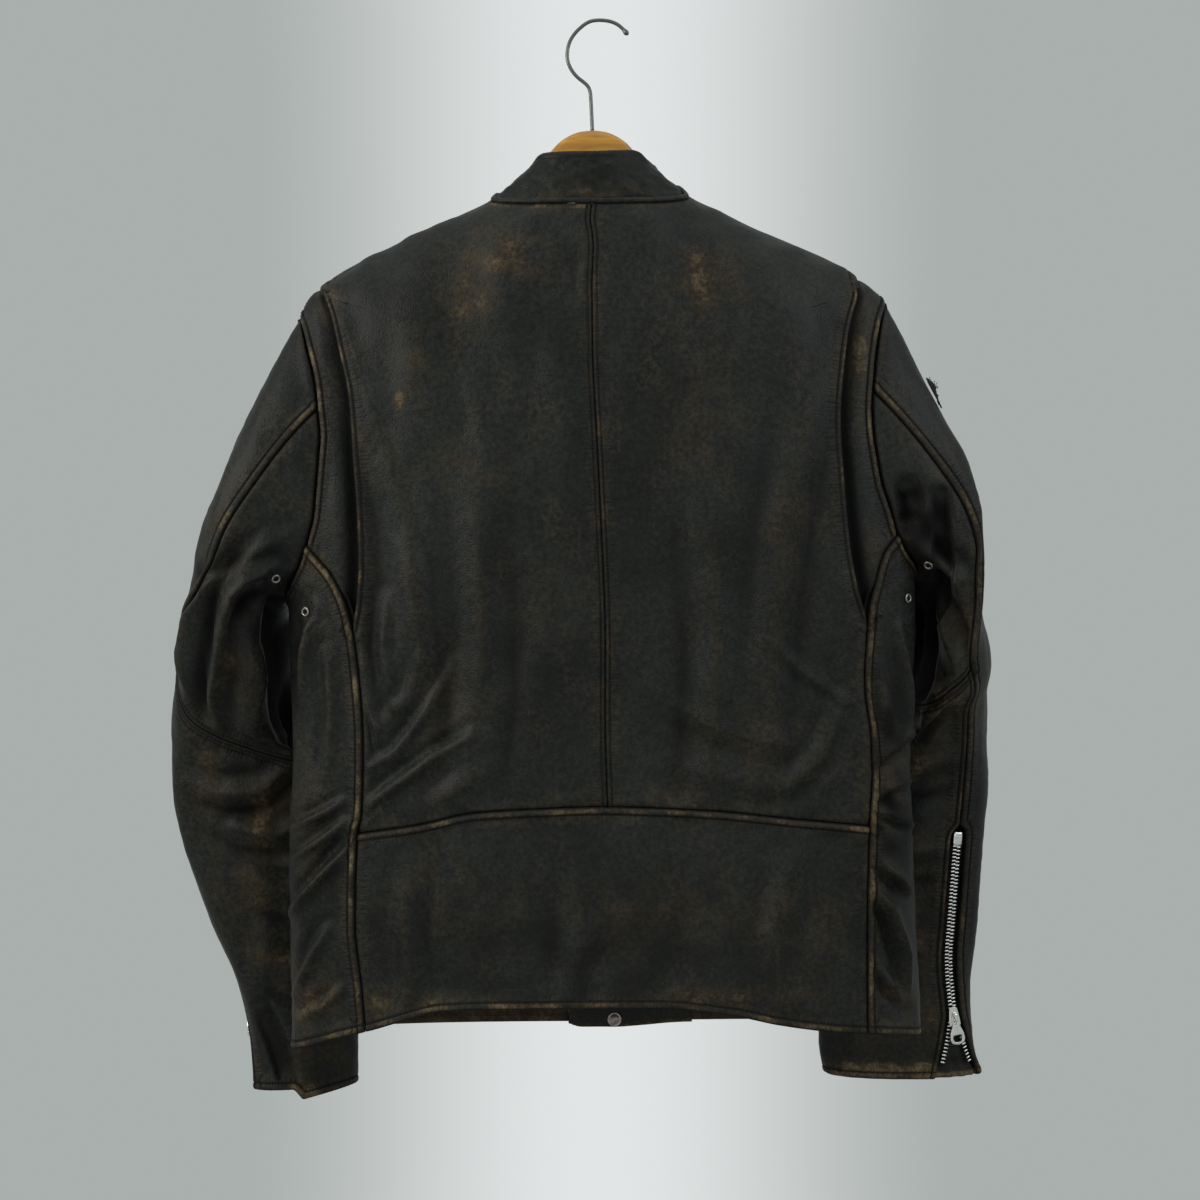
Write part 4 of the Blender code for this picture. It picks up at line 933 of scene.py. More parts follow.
def leather_skin(name, dark, light, warm, bare, tan, rub=1.0, shine=0.46):
    """Old dyed leather: blotched colour, dye rubbed off where it is worn, pebbled grain, and painted shade.
    """
    skin, tree, shader = new_skin(name, IOR=1.45, Specular_IOR_Level=0.22)
    place = node(tree, "TexCoord", "Object")
    drawn = node(tree, "Mapping", Vector=place, Scale=(1.0, 1.0, 0.6))
    slanted = node(tree, "Mapping", Vector=place, Rotation=(0.0, 0.55, 0.0), Scale=(1.0, 1.0, 0.13))
    broad, middle, fine, wrinkle, scratch = (
        node(tree, "TexNoise", Vector=at, Scale=scale, Detail=detail, Roughness=rough)
        for at, scale, detail, rough in (
            (place, 9.0, 4.0, 0.6),         # blotches in the dye, about 110 mm
            (drawn, 34.0, 5.0, 0.62),       # mottled wear, 30 mm
            (place, 260.0, 4.0, 0.6),       # flecks, 4 mm
            (drawn, 120.0, 6.0, 0.65),      # wrinkles, 8 mm
            (slanted, 230.0, 3.0, 0.7)))    # scuffs, 4 mm wide and 30 mm long
    # Pebbles of grain, 1.4 mm across, drawn about twice too coarse so that they show.
    grain = node(tree, "TexVoronoi", 0, {"feature": "SMOOTH_F1"}, Vector=place, Scale=720.0, Smoothness=0.6)
    wear, hollow, gathered, run = (node(tree, "Attribute", "Fac", {"attribute_name": label})
                                   for label in ("wear", "hollow", "pucker", "run"))
    # Gathers across a seam, 2.5 mm apart along it.
    ticks = node(tree, "TexNoise", 0, {"noise_dimensions": "1D"}, W=run, Scale=400.0, Detail=2.0)
    ticks = node(tree, "MapRange", n0=ticks, n1=0.38, n2=0.62)
    crimped = node(tree, "Math", 0, TIMES, n0=ticks, n1=gathered)

    warmth = node(tree, "Math", 0, TIMES,
                  n0=node(tree, "MapRange", n0=middle, n1=0.47, n2=0.68, n3=0.0, n4=0.6),
                  n1=node(tree, "MapRange", n0=fine, n1=0.4, n2=0.62))
    coarse_mottle = node(tree, "MapRange", n0=middle, n1=0.36, n2=0.64, n3=0.15, n4=0.8)
    fine_mottle = node(tree, "MapRange", n0=fine, n1=0.34, n2=0.66, n3=0.3, n4=0.65)
    mottle = node(tree, "Math", 0, PLUS, n0=coarse_mottle, n1=fine_mottle)
    worn = node(tree, "Math", 0, PLUS, n0=node(tree, "Math", 0, TIMES, n0=wear, n1=rub),
                n1=node(tree, "Math", 0, TIMES, n0=crimped, n1=0.16))
    rubbed_off = node(tree, "Math", 0, TIMES, n0=worn, n1=mottle)
    thin_dye = node(tree, "MapRange", n0=rubbed_off, n1=0.06, n2=0.62)
    no_dye = node(tree, "MapRange", n0=rubbed_off, n1=0.55, n2=1.15)
    scuffed = node(tree, "Math", 0, TIMES, n0=coarse_mottle,
                   n1=node(tree, "MapRange", n0=scratch, n1=0.56, n2=0.74, n3=0.0, n4=0.5))
    colour = node(tree, "Mix", 2, COLOURS, n0=node(tree, "MapRange", n0=broad, n1=0.34, n2=0.68),
                  n6=srgb(dark), n7=srgb(light))
    for share, tint in ((warmth, warm), (thin_dye, bare), (no_dye, tan), (scuffed, bare)):
        colour = node(tree, "Mix", 2, COLOURS, n0=share, n6=colour, n7=srgb(tint))
    pits = node(tree, "Math", 0, TIMES,
                n0=node(tree, "MapRange", n0=grain, n1=0.1, n2=0.7, n3=1.05, n4=0.72),
                n1=node(tree, "MapRange", n0=fine, n1=0.36, n2=0.64, n3=0.68, n4=1.4))
    colour = node(tree, "Mix", 2, TINT, n0=1.0, n6=colour,
                  n7=node(tree, "CombineColor", n0=pits, n1=pits, n2=pits))
    # Painted shade: where the stored shade value is high, the colour goes towards near black and the
    # surface goes matt.
    shade_paint = node(tree, "MapRange", n0=hollow, n1=0.1, n2=1.0, n3=0.0, n4=0.9)
    colour = node(tree, "Mix", 2, COLOURS, n0=shade_paint, n6=colour, n7=srgb("060606"))
    tree.links.new(colour, shader["Base Color"])

    rough = node(tree, "MapRange", n0=fine, n1=0.3, n2=0.75, n3=shine - 0.06, n4=shine + 0.12)
    rough = node(tree, "Math", 0, PLUS, n0=rough, n1=node(tree, "Math", 0, TIMES, n0=thin_dye, n1=0.06))
    tree.links.new(node(tree, "Mix", 0, n0=shade_paint, n2=rough, n3=0.95), shader["Roughness"])
    bump = node(tree, "Bump", Height=crimped, Strength=1.0, Distance=0.0005)
    for height, strength, deep in ((middle, 0.3, 0.0018), (wrinkle, 0.45, 0.0008), (grain, 0.6, 0.00045),
                                   (fine, 0.25, 0.0004)):
        bump = node(tree, "Bump", 0, {"invert": height == grain}, Height=height, Strength=strength,
                    Distance=deep, Normal=bump)
    tree.links.new(bump, shader["Normal"])
    return skin


def tape_skin():
    """Black cotton tape. Its ribs, really about 1.2 mm apart, are drawn 7.5 mm apart so that they show."""
    skin, tree, shader = new_skin("black_cotton_tape", Roughness=0.85, Specular_IOR_Level=0.2)
    place = node(tree, "TexCoord", "Object")
    ribs, lines = (node(tree, "TexWave", 1, {"bands_direction": way}, Vector=place, Scale=42.0,
                        Distortion=0.4) for way in "ZX")
    weave = node(tree, "Math", 0, TIMES, n0=ribs, n1=lines)
    tree.links.new(node(tree, "Mix", 2, COLOURS, n0=weave, n6=srgb("0D0D0D"), n7=srgb("262421")),
                   shader["Base Color"])
    tree.links.new(node(tree, "Bump", Height=weave, Strength=0.6, Distance=0.0004), shader["Normal"])
    return skin


def metal_skin(name, colour, rough, stain="5A5247", amount=0.4):
    """Plated metal, dulled in patches of 3 mm, with scratches 0.4 mm wide and 5 mm long."""
    skin, tree, shader = new_skin(name, Metallic=1.0)
    place = node(tree, "TexCoord", "Object")
    drawn = node(tree, "Mapping", Vector=place, Scale=(1.0, 1.0, 0.08))
    patches = node(tree, "TexNoise", Vector=place, Scale=320.0, Detail=4.0)
    scratch = node(tree, "TexNoise", Vector=drawn, Scale=2600.0, Detail=2.0)
    dulled = node(tree, "MapRange", n0=patches, n1=0.45, n2=0.75, n3=0.0, n4=amount)
    tree.links.new(node(tree, "Mix", 2, COLOURS, n0=dulled, n6=srgb(colour), n7=srgb(stain)),
                   shader["Base Color"])
    tree.links.new(node(tree, "MapRange", n0=patches, n1=0.3, n2=0.8, n3=rough, n4=rough + 0.22),
                   shader["Roughness"])
    tree.links.new(node(tree, "Bump", Height=scratch, Strength=0.12, Distance=0.00008), shader["Normal"])
    return skin


def wood_skin():
    """Varnished beech: grain lines 14 mm apart and flecks of 2 by 20 mm under a satin coat."""
    skin, tree, shader = new_skin("varnished_beech", Coat_Weight=0.5, Coat_Roughness=0.22)
    place = node(tree, "TexCoord", "Object")
    drawn = node(tree, "Mapping", Vector=place, Scale=(0.12, 1.0, 1.0))
    bands = node(tree, "TexWave", 1, {"bands_direction": "Z"}, Vector=drawn, Scale=22.0, Distortion=5.0,
                 Detail=3.0)
    flecks = node(tree, "TexNoise", Vector=drawn, Scale=420.0, Detail=3.0)
    colour = node(tree, "Mix", 2, COLOURS, n0=bands, n6=srgb("DCA034"), n7=srgb("C0872A"))
    share = node(tree, "MapRange", n0=flecks, n1=0.5, n2=0.75, n3=0.0, n4=0.55)
    tree.links.new(node(tree, "Mix", 2, COLOURS, n0=share, n6=colour, n7=srgb("875A1F")),
                   shader["Base Color"])
    tree.links.new(node(tree, "MapRange", n0=flecks, n1=0.3, n2=0.8, n3=0.32, n4=0.48), shader["Roughness"])
    tree.links.new(node(tree, "Bump", Height=flecks, Strength=0.15, Distance=0.0002), shader["Normal"])
    return skin


def small_skin(name, colour, rough, second="1A1918"):
    """A plain matt thing, with a slight mottle of 1 mm."""
    skin, tree, shader = new_skin(name, Roughness=rough, Specular_IOR_Level=0.2)
    mottle = node(tree, "TexNoise", Vector=node(tree, "TexCoord", "Object"), Scale=900.0)
    tree.links.new(node(tree, "Mix", 2, COLOURS, n0=mottle, n6=srgb(colour), n7=srgb(second)),
                   shader["Base Color"])
    return skin


LOOKS = {
    # Black cowhide whose dye has gone warm grey and rubbed to brown on seams and folds.
    "leather": leather_skin("worn_black_cowhide", "1C1F1C", "2E312D", "3A352D", "433A2C", "77684E"),
    # The collar's cowhide, browner where a neck has rubbed it.
    "collar_leather": leather_skin("worn_collar_cowhide", "10130F", "1F231D", "2D2C20", "403727", "67563D"),
    # The brown flesh side of the leather, seen on turned-up edges.
    "facing": leather_skin("brown_inner_hide", "1C1713", "2B231C", "352A20", "4A3C2D", "665540", 0.9, 0.5),
    # Dull black kid leather, soft and matt, on the torn flap and its threads.
    "torn": leather_skin("black_kid_leather", "0F0F0E", "191817", "1C1A18", "2B231D", "3A2F26", 0.4, 0.62),
    # Black cotton tape with a fine weave.
    "tape": tape_skin(),
    # Bright nickel plate on the teeth, sliders and pulls.
    "nickel": metal_skin("nickel_plate", "F2F1EE", 0.16, "8E877B", 0.25),
    # Nickel gone dull on the eyelets and snap.
    "dull_nickel": metal_skin("dulled_nickel", "9D978E", 0.34, "3B352E", 0.6),
    # Drawn steel wire, gone grey.
    "wire": metal_skin("dark_steel_wire", "6E6D6B", 0.3, "4A4845", 0.3),
    # Golden varnished beech, satin, with a fine long grain.
    "wood": wood_skin(),
    # Waxed black thread, a little paler than the dye on the leather.
    "thread": small_skin("waxed_thread", "3A3733", 0.55),
    # Painted shade: a near-black ring that stands for the shade inside an eyelet's hole.
    "hole": small_skin("eyelet_depth", "0B0B0B", 0.9)}


# ---- the body's pieces ----

def ridge(side, top, low):
    """The shoulder line between two heights."""
    return straight((reach(side, 90), top), (reach(side, 90), low))


def pleat_distance(side, grid):
    """How far each point lies outside the pleat edge, level with it."""
    edge_turn = along(PLEAT_EDGE[side], "turn", grid[..., 1])
    apart = body_point(grid[..., 0], grid[..., 1]) - body_point(edge_turn, grid[..., 1])
    return np.sign(abs(grid[..., 0]) - abs(edge_turn)) * np.linalg.norm(apart, axis=-1)


def back(side):
    """One half of the back, which stands proud over the pleat strip beside it."""
    pleat, seam = PLEAT_EDGE[side], BACK_SIDE_SEAM[side]
    start, end = ends_of(pleat)
    middle = [along(CENTRE_BACK, "turn", z) for z in (-159, -643)]
    corner = along(seam, "turn", WAIST_CORNER)
    grid, corners = cut(
        body_point,
        [around(NECK, middle[0], reach(side, 90))],
        [around(WAIST, middle[1], corner)],
        [down(CENTRE_BACK, along(NECK, "z", middle[0]), along(WAIST, "z", middle[1]))],
        [ridge(side, along(NECK, "z", reach(side, 90)), start), down(pleat, start, end),
         down(seam, end, along(WAIST, "z", corner))], fade=1.6)
    z = grid[..., 1]
    held = ease((start - 8 - z) / 40) * ease((z - end) / 30)
    lift = PLEAT_STAND * held * (1 - ease(-pleat_distance(side, grid) / 25))
    leather_piece(f"back_{side}_leather", BODY_FORM, grid, corners,
                  {"top": ["necked"], "low": ["tucked"], "first": ["double"],
                   "last": ["double", "pleat", "tucked"]}, "body", 11 + len(side), lift)


def back_pleat(side):
    """The strip that opens behind the shoulder: its inner edge runs on beneath the back."""
    pleat, seam = PLEAT_EDGE[side], BACK_SIDE_SEAM[side]
    start, end = ends_of(pleat)
    armhole_top, armhole_end = ARMHOLE[side]["z"][0], seam["z"][0]
    z = np.linspace(start - 9, end - 4, 60)
    turn = along(pleat, "turn", z)
    degree = np.linalg.norm(body_point(turn * 0.98, z) - body_point(turn, z), axis=-1) / abs(turn * 0.02)
    inner = np.stack([turn - np.sign(turn) * PLEAT_UNDER / degree, z], -1)
    shoulder = (reach(side, 89), start - 3)
    low = (along(seam, "turn", end), end)
    grid, corners = cut(
        body_point,
        [straight(inner[0], shoulder), straight(shoulder, (reach(side, 90), armhole_top))],
        [straight(inner[-1], low)],
        [inner],
        [armhole_edge(side, "back", armhole_top, armhole_end), down(seam, armhole_end, low[1])],
        coarse=2.6, fade=5.0)
    beyond = pleat_distance(side, grid)
    near_ridge = 1 - ease((start - 10 - grid[..., 1]) / 50)
    under = LEATHER + PLEAT_CLEAR * (1 - 0.4 * near_ridge)
    under = under + 3.5 * (1 - near_ridge) * np.exp(-((beyond - 4) / 6) ** 2)
    lift = -under * (1 - ease((beyond - 5) / 14)) - 2.6 * (1 - near_ridge) * ease((-beyond - 1) / 6)
    deep = 2.6 + 5.0 * ease((-300 - grid[..., 1]) / 170)
    leather_piece(f"back_pleat_{side}_leather", BODY_FORM, grid, corners,
                  {"top": ["plain", "double"], "low": ["plain"], "first": ["plain"],
                   "last": ["raised", "tucked"]}, "body", 31 + len(side), lift,
                  calm=0.5 * ease((beyond + 2) / 6),
                  shadow=np.exp(-(np.maximum(beyond - 6.0, 0) / deep) ** 2))


def back_waist_panel():
    """The band across the back between the waist seam and the hem."""
    top = [along(BACK_SIDE_SEAM[side], "turn", WAIST_CORNER) for side in SIDES]
    low = [along(BACK_SIDE_SEAM[side], "turn", HEM_CORNER + 4) for side in SIDES]
    ends = [down(BACK_SIDE_SEAM[side], along(WAIST, "z", top[k]), along(HEM, "z", low[k]))
            for k, side in enumerate(SIDES)]
    grid, corners = cut(body_point, [around(WAIST, *top)], [around(HEM, *low)], [ends[0]], [ends[1]])
    leather_piece("back_waist_panel_leather", BODY_FORM, grid, corners,
                  {"top": ["raised"], "low": ["hem"], "first": ["tucked"], "last": ["tucked"]}, "body", 41)


def side_panel(side):
    """The panel under the arm, from the armhole to the hem."""
    back_seam, front_seam = BACK_SIDE_SEAM[side], FRONT_SIDE_SEAM[side]
    top, underarm = back_seam["z"][0], ARMHOLE[side]["z"][-1]
    ends = [along(seam, "turn", HEM_CORNER) for seam in (back_seam, front_seam)]
    pleat_end = PLEAT_EDGE[side]["z"][-1]
    waist = along(WAIST, "z", along(back_seam, "turn", WAIST_CORNER))
    grid, corners = cut(
        body_point,
        [armhole_edge(side, "back", top, underarm),
         armhole_edge(side, "front", underarm, front_seam["z"][0])],
        [around(HEM, *ends)],
        [down(back_seam, top, pleat_end), down(back_seam, pleat_end, waist),
         down(back_seam, waist, along(HEM, "z", ends[0]))],
        [down(front_seam, front_seam["z"][0], along(HEM, "z", ends[1]))])
    leather_piece(f"side_panel_{side}_leather", BODY_FORM, grid, corners,
                  {"top": ["raised", "raised"], "low": ["hem"], "first": ["raised"] * 3,
                   "last": ["raised"]}, "body", 51 + len(side))


def front(side):
    """One front, from the neck and shoulder to the hem, with its edge beside the zip."""
    seam = FRONT_SIDE_SEAM[side]
    shoulder, armhole_top = along(NECK, "z", reach(side, 90)), ARMHOLE[side]["z"][0]
    corner = along(seam, "turn", HEM_CORNER - 4)
    edge = reach(side, FRONT_EDGE)
    grid, corners = cut(
        body_point,
        [around(NECK, edge, reach(side, 90), 120)],
        [around(HEM, edge, corner)],
        [straight((edge, along(NECK, "z", edge)), (edge, along(HEM, "z", edge)))],
        [ridge(side, shoulder, armhole_top), armhole_edge(side, "front", armhole_top, seam["z"][0]),
         down(seam, seam["z"][0], along(HEM, "z", corner))], coarse=3.8, fade=1.6)
    leather_piece(f"front_{side}_leather", BODY_FORM, grid, corners,
                  {"top": ["necked"], "low": ["hem"], "first": ["pleat"],
                   "last": ["tucked", "raised", "tucked"]}, "body", 61 + len(side))


def hem_facing(side):
    """The stitched turn-up that shows inside each front's hem."""
    low = around(HEM, reach(side, 176), reach(side, 138))
    high = low + (0, HEM_FACING)
    ends = [straight(high[k], low[k]) for k in (0, -1)]
    grid = cut(body_point, [high], [low], ends[:1], ends[1:])[0] + (0, 0.6)
    out = outward(BODY_FORM, grid[..., 0], grid[..., 1])
    base = body_point(grid[..., 0], grid[..., 1]) - out * (LEATHER + 2 * LAYER_GAP)
    distance = from_edges(base)
    crimp = 0.35 * waves(base, 9, 77) * np.exp(-((distance["low"] - 6) / 5) ** 2)
    groove = -0.5 * np.exp(-((distance["low"] - 5.5) / 0.8) ** 2)
    back_face = base - out * (1.3 - crimp - groove)[..., None]
    wear = 0.75 + 0.25 * waves(base, 20, 78)
    piece = wall(f"front_hem_facing_{side}_leather", base, back_face, LOOKS["facing"],
                 wear=wear, hollow=wear * 0)
    dress(piece, flat_size(base))
    line = stitch_line(back_face, distance, "low", 0, base.shape[1] - 1, 5.5)
    STITCHES.append((piece.name, [line]))


def turning(name, line):
    """The turned-in edge of a body seam, which closes it from inside."""
    place, out = body_point(*line.T), outward(BODY_FORM, *line.T)
    across = unit(np.cross(out, np.gradient(place, axis=0)))
    lines = [place + across * a - out * (LEATHER + 0.6 + 1.7 * np.exp(-(a / 1.5) ** 2))
             for a in np.linspace(-TURNING, TURNING, 9)]
    face = np.stack(lines, 1)
    none = np.zeros(face.shape[:2])
    # Painted shade: the turned-in edge sits inside the jacket, so its brown is darkened almost to black.
    piece = wall(name, face, face - out[:, None] * 0.8, LOOKS["facing"], wear=none, hollow=none + 0.9)
    put(outward_faces(piece))


def seam_turnings(side):
    """The turned-in edges of the armhole and of the two side seams."""
    top, low = ends_of(ARMHOLE[side])
    ring = join(armhole_edge(side, "back", top, low, 61), armhole_edge(side, "front", top, low, 61)[::-1])
    turning(f"armhole_turning_{side}", ring)
    for label, seam in (("back", BACK_SIDE_SEAM[side]), ("front", FRONT_SIDE_SEAM[side])):
        hem = along(HEM, "z", along(seam, "turn", HEM_CORNER)) + 0.6
        turning(f"{label}_side_turning_{side}", down(seam, seam["z"][0], hem, 61))


def hem_tab():
    """The tab that hangs below the front hem."""
    u = np.linspace(0, 1, 61)
    turn = TAB_START - u * TAB_REACH
    turn = np.where(turn > 180, turn - 360, turn)
    high = np.full(61, -800.0)
    low = TAB_HEM + 4.5 * ease((u - 0.35) / 0.65) + 3.0 * (1 - ease(u / 0.12)) ** 2
    rows = np.linspace(0, 1, 25)[:, None]
    z = high * (1 - rows) + low * rows
    base = body_point(np.broadcast_to(turn, z.shape), z)
    base[..., 1] -= TAB_STAND
    distance = from_edges(base)
    away = np.min([distance[k] for k in ("first", "low")], 0)
    base[..., 1] += 0.5 * seam_lift("hem", away) + 0.3 * waves(base, 24, 91)
    behind = base - (0, LEATHER, 0)
    behind[..., 1] -= 0.5 * seam_lift("hem", away)
    wear = np.exp(-away / 5) * (0.8 + 0.3 * waves(base, 14, 92))
    piece = wall("front_hem_tab_leather", base, behind, LOOKS["leather"], wear=wear, hollow=wear * 0)
    dress(piece, flat_size(base))
    lines = [stitch_line(behind, distance, name, 0, count, 4.5)
             for name, count in (("low", 60), ("first", 24))]
    STITCHES.append((piece.name, lines))


# ---- the collar ----

def collar_edge(turn):
    """The foot of the collar on the neckline, and its top edge over it."""
    foot = body_point(turn, along(NECK, "z", turn))
    top = np.stack([along(COLLAR_TOP, name, turn) for name in "xyz"], -1)
    return foot, top


def neck_turns(count):
    """Turns round the neckline, evenly spaced along it, that stop short of centre front."""
    turn = np.linspace(-FRONT_EDGE + 1.5, FRONT_EDGE - 1.5, 721)
    run = run_of(collar_edge(turn)[0])
    return np.interp(np.linspace(0, run[-1], count), run, turn)


def swept(name, rings, finish, closed=False, caps=True):
    """A closed body through rings of points."""
    rings = np.asarray(rings, float)
    count, sides = rings.shape[:2]
    at = np.arange(count * sides).reshape(count, sides)
    at = np.concatenate([at, at[:, :1]], 1)
    if closed:
        at = np.concatenate([at, at[:1]], 0)
    faces = quads(at)
    if caps and not closed:
        faces += [list(range(sides))[::-1], list(range((count - 1) * sides, count * sides))]
    return outward_faces(mesh_object(name, rings.reshape(-1, 3), faces, finish))


def wire_rings(path, radius, sides=12):
    """Round rings along a path, carried without twist."""
    path = np.asarray(path, float)
    ahead = unit(np.gradient(path, axis=0))
    radius = np.broadcast_to(radius, len(path))
    side = unit(np.cross(ahead[0], (0.3, 1, 0.2)))
    angle = np.linspace(0, 2 * np.pi, sides, endpoint=False)[:, None]
    rings = []
    for place, way, thick in zip(path, ahead, radius):
        side = unit(side - way * np.dot(side, way))
        other = np.cross(way, side)
        rings.append(place + thick * (np.cos(angle) * side + np.sin(angle) * other))
    return rings


def collar():
    """The stand collar, and the roll of piping between it and the neckline."""
    foot, top = collar_edge(neck_turns(281))
    along_neck = unit(np.gradient(foot, axis=0))
    way = unit(top - foot)
    square = way - along_neck * np.sum(way * along_neck, -1, keepdims=True)
    way = way / np.linalg.norm(square, axis=-1, keepdims=True)
    roll = foot + way * (PIPE - 0.3)
    roll = roll + way * (0.3 * waves(roll, 18, 5))[:, None]
    upright = unit(np.cross(along_neck, way))
    turn = np.radians(np.linspace(-172, 172, 21))[None, :, None]
    round_it = np.cos(turn) * way[:, None] + np.sin(turn) * upright[:, None]
    radius = (PIPE * (1.0 + 0.05 * waves(roll, 9, 6)))[:, None, None]
    outer = roll[:, None] + round_it * radius
    rings = np.concatenate([outer, (roll[:, None] + round_it * (radius - 1.0))[:, ::-1]], 1)
    piping = swept("collar_piping_leather", rings, LOOKS["leather"])
    wear = np.repeat(np.clip(0.12 + 0.15 * waves(roll, 30, 7), 0, 1), rings.shape[1])
    store(piping, wear=wear, hollow=wear * 0)
    width, length, _ = flat_size(outer)
    dress(piping, (width, length, width * length))
    base = foot + way * (2 * PIPE - 0.5)
    rise = np.linspace(0, 1, 41)[:, None, None]
    face = base * (1 - rise) + top * rise
    out = unit(np.cross(np.gradient(face, axis=1), np.gradient(face, axis=0)))
    distance = from_edges(face)
    edge = np.minimum(distance["low"], np.minimum(distance["first"], distance["last"]))
    lift = 0.8 * seam_lift("hem", edge)
    foot_lift = seam_lift("tucked", distance["top"]) * 0.5
    rumple = 0.7 * waves(face, 26, 8) + 0.4 * waves(face, 11, 9) + 0.12 * waves(face, 5, 19)
    shown = face + out * (lift + foot_lift + rumple * ease(edge / 8))[..., None]
    inner = shown - out * COLLAR_WALL - out * (0.5 * lift)[..., None]
    nape = np.exp(-((face[..., 0] + 4) / 44) ** 2) * ease(-face[..., 1] / 20)
    wear = np.exp(-((edge - 1) / 2.4) ** 2) * 0.45 + nape * np.exp(-(distance["top"] / 14) ** 2) * 0.5
    wear = wear * np.clip(0.75 + 0.5 * waves(face, 17, 10), 0.2, 1.2)
    piece = wall("collar_leather", shown, inner, LOOKS["collar_leather"], wear=wear, hollow=wear * 0)
    dress(piece, flat_size(face))
    lines = [stitch_line(shown, distance, name, 6, count, 5.9)
             for name, count in (("low", 274), ("first", 34), ("last", 34))]
    STITCHES.append(("collar", lines))


# ---- the sleeves ----

def below_slider(side, row):
    """From 0 at a cuff's slider to 1 at the sleeve's end, as the zip's two halves part."""
    return np.clip((row - ZIP_SLIDER) / (SLEEVE_END - ZIP_SLIDER), 0, 1) ** 0.8


def zip_mouth(side, row, way):
    """From the back sleeve seam to the leather edge on its inner side (1) or outer side (-1)."""
    rounding = np.clip((row - ZIP_TOP + 0.3) / 0.2, 0, 1)
    opened = ZIP_MOUTH * np.sqrt(1 - (1 - rounding) ** 2)
    spread = CUFF_SPREAD[side] - ZIP_MOUTH + max(way, 0) * CUFF_LEAN[side]
    return opened + spread * below_slider(side, row)


def beside_seam(side, row, distance):
    """Angle of a line that lies at a distance from the back sleeve seam, towards the inner side."""
    middle = along(BACK_SLEEVE_SEAM[side], "angle", row)
    span = sleeve_point(side, middle + 1, row) - sleeve_point(side, middle - 1, row)
    degree = np.linalg.norm(span, axis=-1) / 2
    return middle + distance / degree


def leather_edge(side, start, end, way, count=480):
    """The edge of the leather beside the back sleeve seam, and beside the zip below it."""
    row = np.linspace(start, end, count)
    return np.stack([beside_seam(side, row, way * zip_mouth(side, row, way)), row], -1)


def sleeve_seams(side):
    """The edges that the sleeve's pieces share: the back seam's two leather edges, each cut
    where the elbow seam meets it, and the elbow seam."""
    edges = [leather_edge(side, 0, SLEEVE_END, way) for way in (-1, 1)]
    elbow = ELBOW_SEAM[side]
    crossing = int(np.argmin(abs(edges[1][:, 1] - along(elbow, "row", edges[1][:, 0]))))
    angles = np.linspace(edges[1][crossing, 0], FRONT_SLEEVE_SEAM, 90)
    seam = np.stack([angles, along(elbow, "row", angles)], -1)
    seam[0] = edges[1][crossing]
    return [[edge[:crossing + 1], edge[crossing:]] for edge in edges] + [seam]


def sleeve(side):
    """The top sleeve, and the under sleeve, cut in two at the elbow."""
    form = SLEEVE_FORM[side]
    outer, inner, elbow = sleeve_seams(side)
    last, row = FRONT_SLEEVE_SEAM, elbow[-1, 1]
    start, end = inner[0][0], inner[1][-1]
    pieces = (
        ("top", cut(form[0],
                    [straight((last - 360, 0), outer[0][0], 90)],
                    [straight((last - 360, SLEEVE_END), outer[1][-1], 90)],
                    [straight((last - 360, 0), (last - 360, row), 200),
                     straight((last - 360, row), (last - 360, SLEEVE_END), 200)],
                    outer),
         {"top": ["tucked"], "low": ["hem"], "first": ["tucked", "tucked"], "last": ["backed", "backed"]}),
        ("under_upper", cut(form[0], [straight(start, (last, 0), 90)], [elbow], inner[:1],
                            [straight((last, 0), (last, row), 200)]),
         {"top": ["tucked"], "low": ["double"], "first": ["tucked"], "last": ["tucked"]}),
        ("under_lower", cut(form[0], [elbow], [straight(end, (last, SLEEVE_END), 90)], inner[1:],
                            [straight((last, row), (last, SLEEVE_END), 200)]),
         {"top": ["lapped"], "low": ["hem"], "first": ["pleat"], "last": ["tucked"]}))
    for k, (label, (grid, corners), styles) in enumerate(pieces):
        x = sleeve_point(side, grid[..., 0], grid[..., 1])[..., 0]
        corner = np.clip(np.where(x < -252, 1 + (x + 252) / 7, 1 - (x + 252) / 44), 0, 1)
        droop = CUFF_CORNER[side] * corner * ease((grid[..., 1] - 10.1) / 0.9)
        leather_piece(f"sleeve_{label}_{side}_leather", form, grid, corners, styles, side,
                      71 + 3 * k + len(side), droop=droop)


# ---- zips ----

def cuff_line(side, rows, distance, level):
    """Points beside the middle of the cuff's zip, at a level from the leather's face."""
    angle = beside_seam(side, rows, distance)
    out = outward(SLEEVE_FORM[side], angle, rows)
    return sleeve_point(side, angle, rows) + out * level, out


def zip_half(name, place, profile, cord, out, way):
    """A zip tape, too narrow to count as a sheet, and where its row of teeth runs."""
    face = np.stack([place(way * a, TAPE_LEVEL + b) for a, b in profile], 1)
    piece = wall(name + "_tape", face, face - out[:, None] * 1.0, LOOKS["tape"])
    put(piece, name)
    TEETH_ROWS.append((name.replace("zip", "teeth"), place(way * cord, TEETH_LEVEL), out,
                       0.5 if way > 0 else 0.0))


def cuff_zip(side):
    """The two halves of a cuff's zip, which part below its slider."""
    rows = np.linspace(ZIP_TOP, SLEEVE_END - 0.5, 91)
    profile = ((0.3, 0.25), (1.6, 0.45), (3.2, 0.1), (5.0, 0.0), (ZIP_HALF, 0.0))
    for label, way in (("inner", 1), ("outer", -1)):
        parted = (CUFF_SPREAD[side] - 4.2 + max(way, 0) * CUFF_LEAN[side]) * below_slider(side, rows)
        out = cuff_line(side, rows, way * parted, 0)[1]
        zip_half(f"cuff_zip_{label}_{side}",
                 lambda a, level: cuff_line(side, rows, way * parted + a, level)[0],
                 profile, 1.75, out, way)


